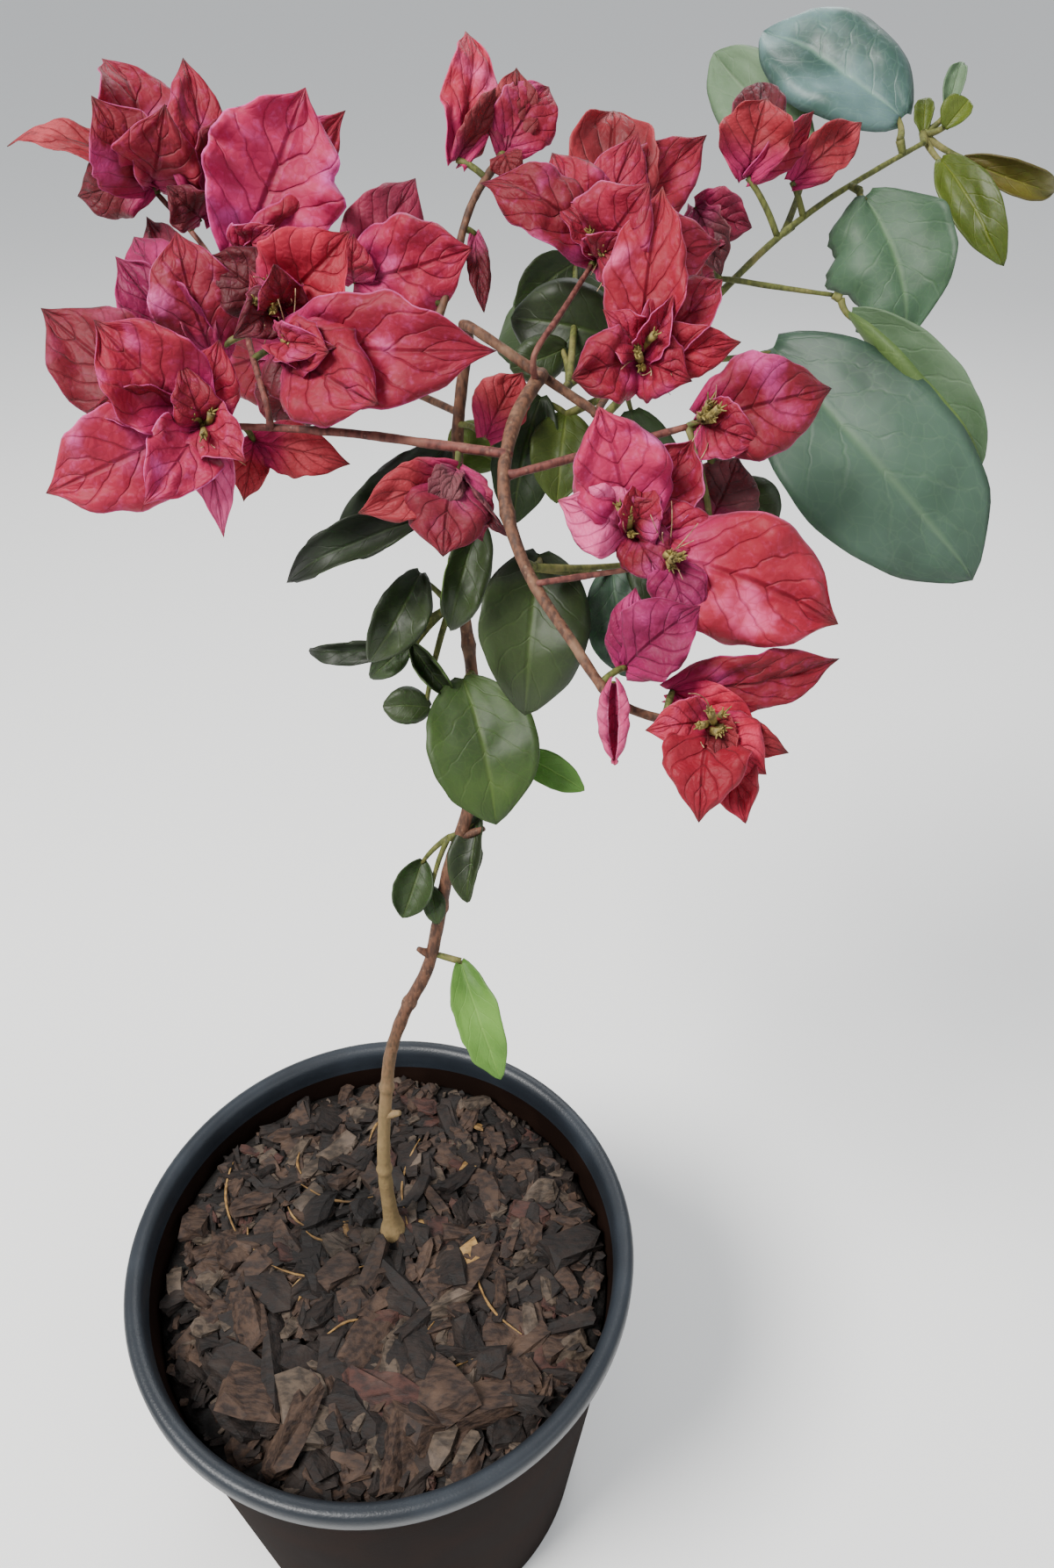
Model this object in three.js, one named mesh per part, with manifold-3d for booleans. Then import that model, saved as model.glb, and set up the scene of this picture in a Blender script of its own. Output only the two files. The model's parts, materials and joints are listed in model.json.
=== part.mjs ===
// A young bougainvillea in a round nursery pot: pot, mix, stem, boughs, bract heads and leaf sprays.
// Millimetres, +Z up. The origin is the centre of the pot's flat underside.
import * as THREE from 'three';
import { mergeVertices } from 'three/addons/utils/BufferGeometryUtils.js';
import Module from 'manifold-3d';

const wasm = await Module();
wasm.setup();

// ---------------------------------------------------------------- driving dimensions

const GAP = 0.3; // clearance between touching pieces

const POT_HEIGHT = 165;
const RIM_RADIUS = 90; // outside of the rolled rim
const RIM_DEPTH = 8; // height of the rolled rim
const RIM_ROUND = 2; // how far the rolled rim's corners are eased
const LEDGE_DEPTH = 10; // how far down inside the pot the thick band under the rim reaches
const LEDGE_STEP = 1; // how far that band stands in from the wall
const TOP_RADIUS = 86; // outside of the wall, just under the rim
const FOOT_RADIUS = 72; // outside of the flat underside
const WALL = 2;
const DRAIN_COUNT = 6;
const DRAIN_RADIUS = 6;
const DRAIN_CIRCLE = 56; // radius of the circle that the drain holes stand on
const POT_SIDES = 24; // sides of the pot, and of the mix that fills it

const MIX_TOP = 147; // height of the potting mix at the stem
const MIX_FALL = 3; // how much lower it lies against the wall
const MIX_EDGE = 3; // how far below that its outer corner is eased
const MIX_RELIEF = 1.8; // height of the lumps in the mix
const MIX_CLEAR = 0.6; // room between the mix and the wall
const LEVEL_REACH = 9; // the mix is level this far round its middle

const STEM_FOOT = 2.8; // radius of the stem where it leaves the mix
const STEM_TOP = 1.7;
const CORE = 4; // radius of the knot where the blades of a mass join
const BUD = 3; // radius of the knot where leaf stalks join
const STALK = 0.9; // half-width of a leaf stalk
const BRACT_THICKNESS = 1;
const LEAF_THICKNESS = 1.2;

// The crown lies on a sheet that leans back. A place in it is given across the sheet, up the sheet
// and behind the sheet, from a point above the front of the pot.
const LEAN = THREE.MathUtils.degToRad(38.4);
const SHEET_ORIGIN = new THREE.Vector3(51.5, -16, 385);
const ACROSS = new THREE.Vector3(1, 0, 0);
const UP = new THREE.Vector3(0, Math.sin(LEAN), Math.cos(LEAN));
const FRONT = new THREE.Vector3(0, -Math.cos(LEAN), Math.sin(LEAN));
const LIGHT = new THREE.Vector3(48, -218, 545); // the blades face this point, where the light comes from

const COLOURS = {
  pot: { color: 0x23262b, roughness: 0.45, metalness: 0 },
  mix: { color: 0x3b2a20, roughness: 0.95, metalness: 0 },
  bark: { color: 0x7a5a43, roughness: 0.75, metalness: 0 },
  young: { color: 0x5d6233, roughness: 0.6, metalness: 0 },
  pink: { color: 0xc2476a, roughness: 0.6, metalness: 0 },
  crimson: { color: 0xa8243c, roughness: 0.6, metalness: 0 },
  magenta: { color: 0xae2f6b, roughness: 0.6, metalness: 0 },
  withered: { color: 0x6b3b3a, roughness: 0.8, metalness: 0 },
  leaf: { color: 0x4f6436, roughness: 0.5, metalness: 0 },
  dark: { color: 0x2c3a24, roughness: 0.5, metalness: 0 },
};

// ---------------------------------------------------------------- geometry helpers

const radians = THREE.MathUtils.degToRad;

function place(across, up, behind) {
  return SHEET_ORIGIN.clone()
    .addScaledVector(ACROSS, across - SHEET_ORIGIN.x)
    .addScaledVector(UP, up)
    .addScaledVector(FRONT, -behind);
}

// The direction at a clock angle on the sheet, lifted off it towards the light.
function heading(root, clock, lift) {
  return new THREE.Vector3()
    .addScaledVector(ACROSS, Math.sin(radians(clock)) * Math.cos(radians(lift)))
    .addScaledVector(UP, Math.cos(radians(clock)) * Math.cos(radians(lift)))
    .addScaledVector(LIGHT.clone().sub(root).normalize(), Math.sin(radians(lift)));
}

function centroid(points) {
  return points.reduce((sum, point) => sum.add(point), new THREE.Vector3()).divideScalar(points.length);
}

// Skins a row of rings. A ring of one point is an apex; an open end gets a fan.
function loft(rings) {
  const first = rings[0];
  const last = rings[rings.length - 1];
  const rows = [...rings];
  if (first.length > 1) rows.unshift([centroid(first)]);
  if (last.length > 1) rows.push([centroid(last)]);
  const triangles = [];
  for (let row = 0; row + 1 < rows.length; row++) {
    const a = rows[row];
    const b = rows[row + 1];
    const count = Math.max(a.length, b.length);
    for (let k = 0; k < count; k++) {
      const next = (k + 1) % count;
      if (a.length > 1) triangles.push(a[k], a[next], b[b.length > 1 ? next : 0]);
      if (b.length > 1) triangles.push(a[a.length > 1 ? k : 0], b[next], b[k]);
    }
  }
  const geometry = new THREE.BufferGeometry().setFromPoints(triangles);
  return solidOf(geometry);
}

function solidOf(geometry) {
  const bare = geometry.clone();
  bare.deleteAttribute('normal');
  bare.deleteAttribute('uv');
  const merged = mergeVertices(bare, 1e-4);
  const positions = new Float32Array(merged.attributes.position.array);
  const indices = new Uint32Array(merged.index.array);
  if (signedVolume(positions, indices) < 0) indices.reverse();
  const mesh = new wasm.Mesh({ numProp: 3, vertProperties: positions, triVerts: indices });
  return new wasm.Manifold(mesh);
}

function signedVolume(positions, indices) {
  const corner = (i) => new THREE.Vector3().fromArray(positions, 3 * indices[i]);
  let sum = 0;
  for (let i = 0; i < indices.length; i += 3) {
    sum += corner(i).dot(corner(i + 1).cross(corner(i + 2)));
  }
  return sum / 6;
}

function geometryOf(solid) {
  const mesh = solid.getMesh();
  const geometry = new THREE.BufferGeometry();
  geometry.setAttribute('position', new THREE.BufferAttribute(new Float32Array(mesh.vertProperties), 3));
  geometry.setIndex(new THREE.BufferAttribute(new Uint32Array(mesh.triVerts), 1));
  geometry.computeVertexNormals();
  return geometry;
}

// ---------------------------------------------------------------- limbs

// A tapering limb through its points, from a flat cut to a blunt end. flare widens its foot.
function limb(points, foot, tip, { sides = 5, step = 16, flare = 0, grow = 0 } = {}) {
  const curve = new THREE.CatmullRomCurve3(points, false, 'centripetal');
  const steps = Math.max(2, Math.round(curve.getLength() / step));
  const frames = curve.computeFrenetFrames(steps, false);
  const rings = [];
  for (let i = 0; i <= steps; i++) {
    const along = i / steps;
    const centre = curve.getPointAt(along);
    const radius = foot + (tip - foot) * along + flare * Math.exp(-along * steps) + grow;
    const ring = [];
    for (let k = 0; k < sides; k++) {
      const angle = (2 * Math.PI * k) / sides;
      ring.push(centre.clone()
        .addScaledVector(frames.normals[i], radius * Math.cos(angle))
        .addScaledVector(frames.binormals[i], radius * Math.sin(angle)));
    }
    rings.push(ring);
  }
  return loft(rings);
}

// ---------------------------------------------------------------- blades

// Half-widths along a blade, as shares of its full half-width: a heart-shaped foot and a drawn-out tip.
const BRACT_OUTLINE = [[0.16, 0.64], [0.46, 1], [0.8, 0.52]];
const LEAF_OUTLINE = [[0.1, 0.5], [0.42, 1], [0.8, 0.62]];

// A section standing square to its direction and facing the given way as nearly as it can: a
// triangle of left edge, right edge and the ridge on the back, or a wider five-sided one when grown.
function section(centre, direction, facing, { half, rise, depth, grow }) {
  const side = new THREE.Vector3().crossVectors(direction, facing).normalize();
  const face = new THREE.Vector3().crossVectors(side, direction).normalize();
  const at = (across, out) => centre.clone().addScaledVector(side, across).addScaledVector(face, out);
  if (!grow) return [at(-half, rise), at(half, rise), at(0, -depth)];
  const reach = half + grow;
  return [
    at(-reach, rise + grow), at(reach, rise + grow), at(reach, rise - grow),
    at(0, -depth - 1.5 * grow), at(-reach, rise - grow),
  ];
}

// One thin blade. clock, lift: where it points. turn: how far it is rolled about its length.
// bow: how far its middle stands forward. fold: how far both edges are raised.
function blade(root, spec, { outline, thickness, foot, grow = 0 }) {
  const [clock, length, width, lift = 0, turn = 0, bow = 3, fold = 10] = spec;
  const start = foot ?? root;
  const tip = start.clone().addScaledVector(heading(start, clock, lift), length);
  const along = tip.clone().sub(start).normalize();
  const front = LIGHT.clone().sub(start).normalize();
  const face = front.addScaledVector(along, -front.dot(along)).normalize();
  face.applyAxisAngle(along, radians(turn));
  const rings = [];
  if (foot) {
    const stalk = { half: STALK, rise: STALK / 2, depth: STALK, grow };
    const lead = foot.clone().sub(root).normalize();
    rings.push(section(root, lead, face, stalk));
    rings.push(section(foot, lead.clone().add(along).normalize(), face, stalk));
  } else {
    rings.push([root]);
  }
  for (const [share, portion] of outline) {
    const centre = start.clone().lerp(tip, share).addScaledVector(face, 4 * bow * share * (1 - share));
    const half = portion * width / 2;
    rings.push(section(centre, along, face, {
      half: half * Math.cos(radians(fold)),
      rise: half * Math.sin(radians(fold)),
      depth: thickness * (1 - 0.5 * share),
      grow,
    }));
  }
  rings.push([tip.addScaledVector(along, 2 * grow)]);
  return loft(rings);
}

function core(centre, radius) {
  const ball = new THREE.OctahedronGeometry(radius, 0);
  ball.rotateX(0.4);
  ball.rotateY(0.3);
  ball.translate(centre.x, centre.y, centre.z);
  return solidOf(ball);
}

// A head of bracts: blades that spread from one knot, which may have a stalk of its own.
function head(at, blades, stalkFrom) {
  const knot = place(...at);
  const style = { outline: BRACT_OUTLINE, thickness: BRACT_THICKNESS };
  return (grow) => {
    let solid = core(knot, CORE + grow);
    for (const spec of blades) solid = solid.add(blade(knot, spec, { ...style, grow }));
    if (stalkFrom) {
      const from = place(...stalkFrom);
      const middle = from.clone().lerp(knot, 0.5).addScaledVector(FRONT, -0.08 * from.distanceTo(knot));
      solid = solid.add(limb([from, middle, knot], STALK, STALK, { sides: 4, step: 30, grow }));
    }
    return solid;
  };
}

// A spray of leaves: a stalk leads from one knot to the foot of each blade.
function spray(at, leaves) {
  const knot = place(...at);
  const style = { outline: LEAF_OUTLINE, thickness: LEAF_THICKNESS };
  return (grow) => {
    let solid = core(knot, BUD + grow);
    for (const [foot, ...spec] of leaves) {
      solid = solid.add(blade(knot, spec, { ...style, foot: place(...foot), grow }));
    }
    return solid;
  };
}

// ---------------------------------------------------------------- pot and mix

// Turns a profile of [radius, height] about the pot's axis.
function turned(profile, sides) {
  const geometry = new THREE.LatheGeometry(profile.map(([r, z]) => new THREE.Vector2(r, z)), sides);
  return geometry.rotateX(Math.PI / 2);
}

function pot() {
  const rimLow = POT_HEIGHT - RIM_DEPTH;
  const inside = TOP_RADIUS - WALL;
  const band = inside - LEDGE_STEP;
  const shell = turned([
    [0, 0], [FOOT_RADIUS, 0], [TOP_RADIUS, rimLow], [RIM_RADIUS, rimLow + RIM_ROUND],
    [RIM_RADIUS, POT_HEIGHT - RIM_ROUND], [RIM_RADIUS - RIM_ROUND, POT_HEIGHT],
    [inside, POT_HEIGHT - LEDGE_STEP], [band, POT_HEIGHT - LEDGE_STEP - RIM_ROUND],
    [band, POT_HEIGHT - LEDGE_DEPTH], [FOOT_RADIUS - WALL, WALL], [0, WALL],
  ], POT_SIDES);
  let solid = solidOf(shell);
  for (let i = 0; i < DRAIN_COUNT; i++) {
    const angle = (2 * Math.PI * (i + 0.5)) / DRAIN_COUNT;
    const drain = new THREE.CylinderGeometry(DRAIN_RADIUS, DRAIN_RADIUS, 4 * WALL, 8);
    drain.rotateX(Math.PI / 2);
    drain.translate(DRAIN_CIRCLE * Math.cos(angle), DRAIN_CIRCLE * Math.sin(angle), WALL / 2);
    solid = solid.subtract(solidOf(drain));
  }
  return solid;
}

// The fill of the pot, with a lumpy top that is highest round the stem.
function mix(stemGrown) {
  const innerFoot = FOOT_RADIUS - WALL;
  const innerTop = TOP_RADIUS - WALL - LEDGE_STEP;
  const slope = (innerTop - innerFoot) / (POT_HEIGHT - LEDGE_DEPTH - WALL);
  const wallAt = (z) => innerFoot + slope * (z - WALL) - MIX_CLEAR;
  const foot = WALL + GAP;
  const edge = MIX_TOP - MIX_FALL - MIX_EDGE;
  const profile = [[0, foot], [wallAt(foot), foot], [wallAt(edge), edge]];
  for (const share of [0.93, 0.72, 0.48, 0.24, 0]) {
    profile.push([share * wallAt(MIX_TOP), MIX_TOP - MIX_FALL * share]);
  }
  const fill = turned(profile, POT_SIDES);
  const positions = fill.attributes.position;
  for (let i = 0; i < positions.count; i++) {
    const x = positions.getX(i);
    const y = positions.getY(i);
    if (positions.getZ(i) <= edge || Math.hypot(x, y) < LEVEL_REACH) continue;
    const coarse = Math.sin(x / 7 + 1) * Math.cos(y / 9 - 2);
    const fine = 0.6 * Math.sin(x / 3.1 - y / 4.3);
    positions.setZ(i, positions.getZ(i) + MIX_RELIEF * (coarse + fine));
  }
  return solidOf(fill).subtract(stemGrown);
}

// ---------------------------------------------------------------- the plant's own plan

const STEM = [
  [2, -172, 173], [1, -138, 149], [4, -107, 129], [10, -79, 109], [21, -58, 93], [30, -23, 69],
  [37, -2, 56], [38, 28, 39], [36, 48, 30], [36, 84, 14], [39, 103, 4],
];

// Boughs: name, colour, radius at the foot and at the tip, then places along it.
const BOUGHS = [
  ['bough_upright', 'bark', 1.6, 1.1, [[39, 103, 4], [36, 113, 2], [37, 124, 1], [40, 131, 0], [47, 144, 2]]],
  ['bough_right', 'bark', 1.8, 1.5, [[39, 102, 4], [47, 97, 1], [56, 92, -3], [69, 83, -2]]],
  ['shoot_green', 'young', 1.5, 0.9,
    [[69, 83, -2], [82, 97, 5], [96, 113, 10], [115, 132, 14], [129, 143, 17], [152, 158, 22]]],
  ['bough_weeping', 'bark', 2.4, 1.2,
    [[55, 90, -6], [48, 73, -17], [47, 62, -20], [51, 46, -22], [61, 29, -24], [72, 15, -26], [86, 11, -27]]],
  ['arm_left', 'bark', 1.7, 1, [[47, 70, -18], [28, 74, -13], [9, 78, -8], [-16, 80, -6]]],
  ['arm_right', 'bark', 1.5, 1, [[48, 70, -18], [64, 70, -19], [79, 71, -20], [86, 75, -19]]],
  ['twig_red', 'bark', 1.1, 0.8, [[55, 89, -7], [59, 101, -10], [67, 115, -6]]],
  ['twig_weeping_side', 'bark', 1.1, 0.8, [[52, 43, -22], [63, 43, -22], [75, 45, -20]]],
  ['twig_left', 'bark', 1.1, 0.8, [[-8, 80, -6], [-8, 94, -7], [-13, 110, -1], [-23, 126, 1], [-31, 135, 1]]],
  ['bough_back_left', 'bark', 1.4, 1, [[36, 88, 13], [18, 102, 28], [-8, 115, 44]]],
  ['bough_back_right', 'bark', 1.4, 1, [[68, 84, -1], [78, 106, 26], [85, 133, 50]]],
  ['twig_long_leaf', 'young', 1.2, 0.7, [[97, 114, 10], [104, 117, 10], [114, 117, 10], [126, 116, 12]]],
];

// Heads: name, colour, place of the knot, then each bract as
// [clock, length, width, lift, turn, bow, fold], then where the head's own stalk starts, if it has one.
const HEADS = [
  ['head_left_tip', 'crimson', [-32, 137, 0], [
    [-18, 32, 22, 12, 30], [-34, 30, 20, 42, 0, 5], [10, 26, 20, 48, 0, 5], [-70, 36, 12, 0, 50],
    [-100, 18, 13, -18, 0], [28, 20, 13, -14, 0]]],
  ['head_left_loop', 'crimson', [-21, 129, 0], [[-6, 36, 17, 6, 20], [24, 27, 16, -8, 0], [-46, 14, 12, 40, 0]]],
  ['head_pink_large', 'pink', [-11, 120, -2], [
    [21, 40, 31, 16, 0, 4, 8], [36, 40, 17, -8, 0], [52, 25, 14, 2, 30], [48, 15, 11, 50, 0]], [-14, 112, -1]],
  ['head_red_cup', 'crimson', [-3, 106, -6], [
    [44, 25, 24, 26, 0, 3, 10], [-52, 19, 15, 10, 0], [-6, 19, 13, 56, 20], [-125, 14, 13, 40, 0]], [-8, 96, -7]],
  ['head_magenta_left', 'magenta', [-18, 97, -2], [
    [-16, 31, 20, 22, 0, 4], [-44, 31, 17, 10, 0], [-33, 36, 20, -10, 0], [-25, 38, 16, -24, 0]], [-9, 98, -6]],
  ['head_left_low', 'crimson', [-19, 80, -8], [
    [-54, 43, 25, -4, 0, 4], [-46, 34, 28, 24, 0, 5], [12, 20, 14, 26, 0], [-114, 38, 24, 4, 0, 5],
    [-144, 24, 17, 26, 0, 4], [170, 25, 10, 2, 0], [132, 16, 14, 34, 0]]],
  ['head_centre_left', 'pink', [0, 97, -8], [
    [92, 45, 25, 14, 0, 6], [124, 29, 24, 30, 0, 5], [100, 20, 13, 58, 0], [158, 17, 16, 14, 0]], [-8, 97, -7]],
  ['head_centre_top', 'pink', [13, 116, 4], [[31, 28, 18, 10, 0, 4], [74, 29, 23, 8, 0, 5], [0, 14, 11, 40, 0]], [18, 102, 27]],
  ['head_top', 'crimson', [37, 142, 0], [[8, 33, 14, 0, 20, 1], [30, 19, 10, 10, 45, 1]], [40, 131, 0]],
  ['head_top_small', 'crimson', [48, 145, 3], [[9, 21, 12, 10, 10, 1], [34, 19, 15, -6, 0], [160, 8, 8, 10, 0]]],
  ['head_right_tall', 'pink', [77, 92, -11], [
    [8, 38, 24, 12, 0, 4], [-104, 18, 17, 24, 0, 4], [112, 14, 15, 34, 0, 3], [46, 26, 20, 6, 0],
    [80, 23, 12, 16, 0]], [67, 70, -19]],
  ['head_right_top', 'pink', [69, 118, -4], [
    [-56, 32, 16, 10, 20, 6], [36, 29, 22, 46, -10, 6], [6, 38, 24, -4, 0, 2], [-24, 27, 17, 12, 0],
    [42, 36, 18, -4, 0], [84, 28, 21, 14, 0, 5], [18, 29, 15, 14, 0]]],
  ['head_right_mid', 'crimson', [89, 76, -19], [[76, 29, 23, 14, 0, 4], [54, 21, 11, -4, 0], [110, 15, 14, 30, 0, 4]]],
  ['head_curled', 'pink', [74, 53, -18], [
    [-14, 29, 22, 18, 0, 6], [-66, 17, 19, 8, 0, 6], [150, 14, 12, 26, 0], [42, 14, 14, 46, 0],
    [34, 23, 17, 2, 0], [88, 20, 13, 16, 0]], [74, 45, -20]],
  ['head_large_right', 'pink', [81, 47, -22], [[112, 39, 29, 8, 0, 3], [166, 17, 12, 12, 0]], [74, 45, -20]],
  ['head_magenta_right', 'magenta', [72, 24, -22], [
    [52, 21, 18, 18, 0, 5], [8, 17, 9, 12, 0], [150, 9, 8, 30, 0], [60, 13, 12, 46, 0]], [67, 21, -25]],
  ['head_flat_right', 'crimson', [82, 19, -20], [[80, 36, 15, 4, 25, 3], [114, 20, 12, 4, 0]], [79, 12, -26]],
  ['head_red_low', 'crimson', [89, 12, -27], [
    [-96, 14, 12, 16, 0], [188, 21, 18, 22, 0, 4], [162, 22, 12, 4, 0], [134, 16, 14, 24, 0],
    [112, 17, 9, 10, 0]]],
  ['bract_hanging', 'pink', [69, 20, -28], [[180, 18, 8, 6, 0, 2]]],
  ['head_dark_centre', 'withered', [37, 67, -14], [
    [-112, 23, 13, 10, 0, 4], [190, 20, 19, 14, 0, 4], [140, 19, 9, 6, 20], [160, 16, 12, -6, 0]]],
  ['bract_behind', 'crimson', [43, 80, 4], [[30, 17, 14, -4, 0]], [37, 86, 12]],
  ['head_shoot_left', 'crimson', [105, 142, 8], [[14, 21, 20, 18, 0, 3], [8, 26, 13, -6, 0], [44, 22, 9, 6, 30]], [93, 133, 4]],
  ['bract_shoot_right', 'crimson', [116, 142, 10], [[50, 22, 13, 6, 0, 2]], [116, 131, 14]],
  ['head_withered_right', 'withered', [92, 133, 4], [[110, 14, 16, 4, 0], [160, 18, 13, -6, 0]], [90, 106, 8]],
  ['bract_under_arm', 'withered', [-10, 79, 2], [[104, 23, 12, 0, 0, 4], [190, 14, 10, 0, 0]], [-8, 80, -5]],
  ['bract_dry_hanging', 'withered', [41, 126, 2], [[174, 18, 6, 0, 0, 1]]],
  ['head_back_left', 'crimson', [-10, 116, 45], [
    [-40, 34, 24, -50, 0, 4], [70, 32, 22, -40, 0, 4], [-110, 34, 22, -46, 0, 4], [170, 30, 22, -40, 0, 4]]],
  ['head_back_right', 'pink', [85, 134, 51], [
    [0, 32, 24, -46, 0, 4], [80, 34, 22, -50, 0, 4], [-70, 32, 22, -40, 0, 4], [165, 34, 24, -46, 0, 4]]],
  ['bract_grey', 'withered', [92, 57, -11], [[24, 15, 16, 0, 0, 2]], [76, 46, -19]],
];

// Sprays: name, colour, place of the knot, then each leaf as the place of its blade's foot and
// [clock, length, width, lift, turn, bow, fold].
const SPRAYS = [
  ['leaves_shoot_tip', 'young', [152, 158, 22], [
    [[158, 165, 22], 16, 14, 7, 4, 0, 1], [[153, 162, 25], 4, 9, 6, -6, 0, 1], [[157, 161, 21], 40, 9, 8, 10, 0, 1],
    [[163, 155, 24], 110, 27, 14, -4, 0, 4], [[156, 153, 21], 150, 30, 19, 12, 0, 3]]],
  ['leaf_blue_top', 'leaf', [145, 157, 19], [[[147, 165, 24], -57, 44, 34, -16, 30, 4, 30]]],
  ['leaf_pale_back', 'young', [116, 134, 18], [[[126, 158, 32], -40, 42, 22, -20, 0, 2]]],
  ['leaf_torn', 'leaf', [134, 143, 16], [[[135, 141, 15], 163, 36, 33, 4, -28, 3, 28]]],
  ['leaf_folded', 'leaf', [128, 115, 12], [[[130, 111, 12], 139, 50, 28, -8, -28, 2, 28]]],
  ['leaf_broad_right', 'leaf', [84, 99, 9], [[[112, 104, 14], 138, 74, 43, 4, -16, 6, 16]]],
  ['leaves_behind_centre', 'dark', [62, 91, 1], [
    [[76, 106, 14], -78, 28, 22, -4, 0, 3], [[66, 130, 24], -128, 20, 14, 0, 0, 2],
    [[62, 103, 10], -110, 14, 11, 0, 0, 2]]],
  ['leaves_centre_olive', 'leaf', [58, 90, 1], [
    [[62, 88, 13], 187, 21, 17, 4, 0, 3], [[56, 92, 12], 193, 32, 17, -8, 0, 2],
    [[45, 79, 22], -52, 14, 13, 0, 0, 2]]],
  ['leaves_dark_left', 'dark', [34, 67, 17], [
    [[33, 80, 12], -133, 37, 22, 0, 0, 4], [[28, 63, 10], -112, 37, 18, 6, 10, 3],
    [[41, 62, 12], 196, 28, 18, -6, 0, 2]]],
  ['leaves_dark_low', 'dark', [33, 45, 29], [
    [[26, 52, 21], -150, 25, 19, 6, 0, 3], [[19, 35, 30], -92, 24, 9, 0, 0, 1],
    [[22, 36, 31], -132, 13, 10, 6, 0, 1], [[23, 36, 32], 142, 18, 14, 0, 0, 2],
    [[27, 20, 36], -88, 12, 10, 8, 0, 1]]],
  ['leaves_centre_low', 'dark', [53, 46, -17], [
    [[55, 52, 0], 186, 36, 29, 6, 0, 5], [[72, 50, 6], 172, 26, 17, -4, 0, 3],
    [[76, 51, 2], 130, 18, 12, 0, 0, 2]]],
  ['leaf_front_green', 'leaf', [38, 28, 35], [
    [[36, 27, 33], 168, 38, 30, 6, 0, 5], [[50, 8, 44], 120, 20, 10, 6, 0, 3, 6]]],
  ['leaves_stem_top', 'dark', [30, -15, 63], [
    [[39, -9, 64], 190, 25, 17, 2, 30, 2], [[22, -22, 72], 200, 18, 10, 4, 0, 1],
    [[24, -30, 74], 170, 11, 7, 12, 0, 1]]],
  ['leaf_low_pale', 'young', [24, -56, 90], [[[32, -54, 88], 162, 38, 20, 4, 10, 2]]],
  ['leaves_right_small', 'dark', [91, 74, -15], [
    [[99, 67, -4], 138, 13, 11, 0, 0, 1], [[100, 40, 2], 120, 12, 9, 0, 0, 1]]],
  ['leaves_back', 'leaf', [78, 105, 29], [
    [[70, 112, 34], -60, 44, 26, -50, 0, 4], [[74, 114, 34], -4, 34, 24, -26, 0, 4],
    [[80, 96, 34], 170, 46, 28, -50, 0, 4]]],
];

// ---------------------------------------------------------------- assembly

const plant = new THREE.Group();
plant.name = 'potted_bougainvillea';
const settled = [];

function boxesMeet(a, b) {
  return [0, 1, 2].every((i) => a.min[i] <= b.max[i] && b.min[i] <= a.max[i]);
}

function largestBody(solid) {
  const bodies = solid.decompose();
  return bodies.reduce((best, body) => (body.volume() > best.volume() ? body : best));
}

function addMesh(name, colour, solid) {
  const mesh = new THREE.Mesh(geometryOf(solid), new THREE.MeshStandardMaterial(COLOURS[colour]));
  mesh.name = name;
  plant.add(mesh);
}

// Adds a piece of the plant, cut clear of every piece that was added before it.
function addGrowth(name, colour, build) {
  let solid = build(0);
  for (const other of settled) {
    if (boxesMeet(solid.boundingBox(), other.boundingBox())) solid = solid.subtract(other);
  }
  addMesh(name, colour, largestBody(solid));
  settled.push(build(GAP));
}

const stem = (extra) => limb(STEM.map((p) => place(...p)), STEM_FOOT, STEM_TOP, {
  sides: 6, step: 20, flare: 1.2, grow: extra,
});

addMesh('pot', 'pot', pot());
addGrowth('stem', 'bark', stem);
addMesh('potting_mix', 'mix', mix(stem(GAP)));
for (const [name, colour, foot, tip, points] of BOUGHS) {
  addGrowth(name, colour, (extra) => limb(points.map((p) => place(...p)), foot, tip, { grow: extra }));
}
for (const [name, colour, at, blades, from] of HEADS) addGrowth(name, colour, head(at, blades, from));
for (const [name, colour, at, leaves] of SPRAYS) addGrowth(name, colour, spray(at, leaves));

export default plant;
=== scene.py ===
# %% [markdown]
# # A young bougainvillea in its nursery pot
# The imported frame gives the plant's plain solids: a pot, the mix in it, a stem, boughs, and thin
# blades that stand for bracts and leaves. This lesson reads where every limb and blade lies from
# those solids, and grows the real surfaces there: bark, veined bracts, waxy leaves, dried flowers,
# bark mulch and a moulded pot. Nothing is placed by eye a second time, so the two models agree.

# %% Load the frame
import json
import math
import random

import bmesh
import bpy
from mathutils import Matrix, Vector, noise
from mathutils.bvhtree import BVHTree

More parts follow.
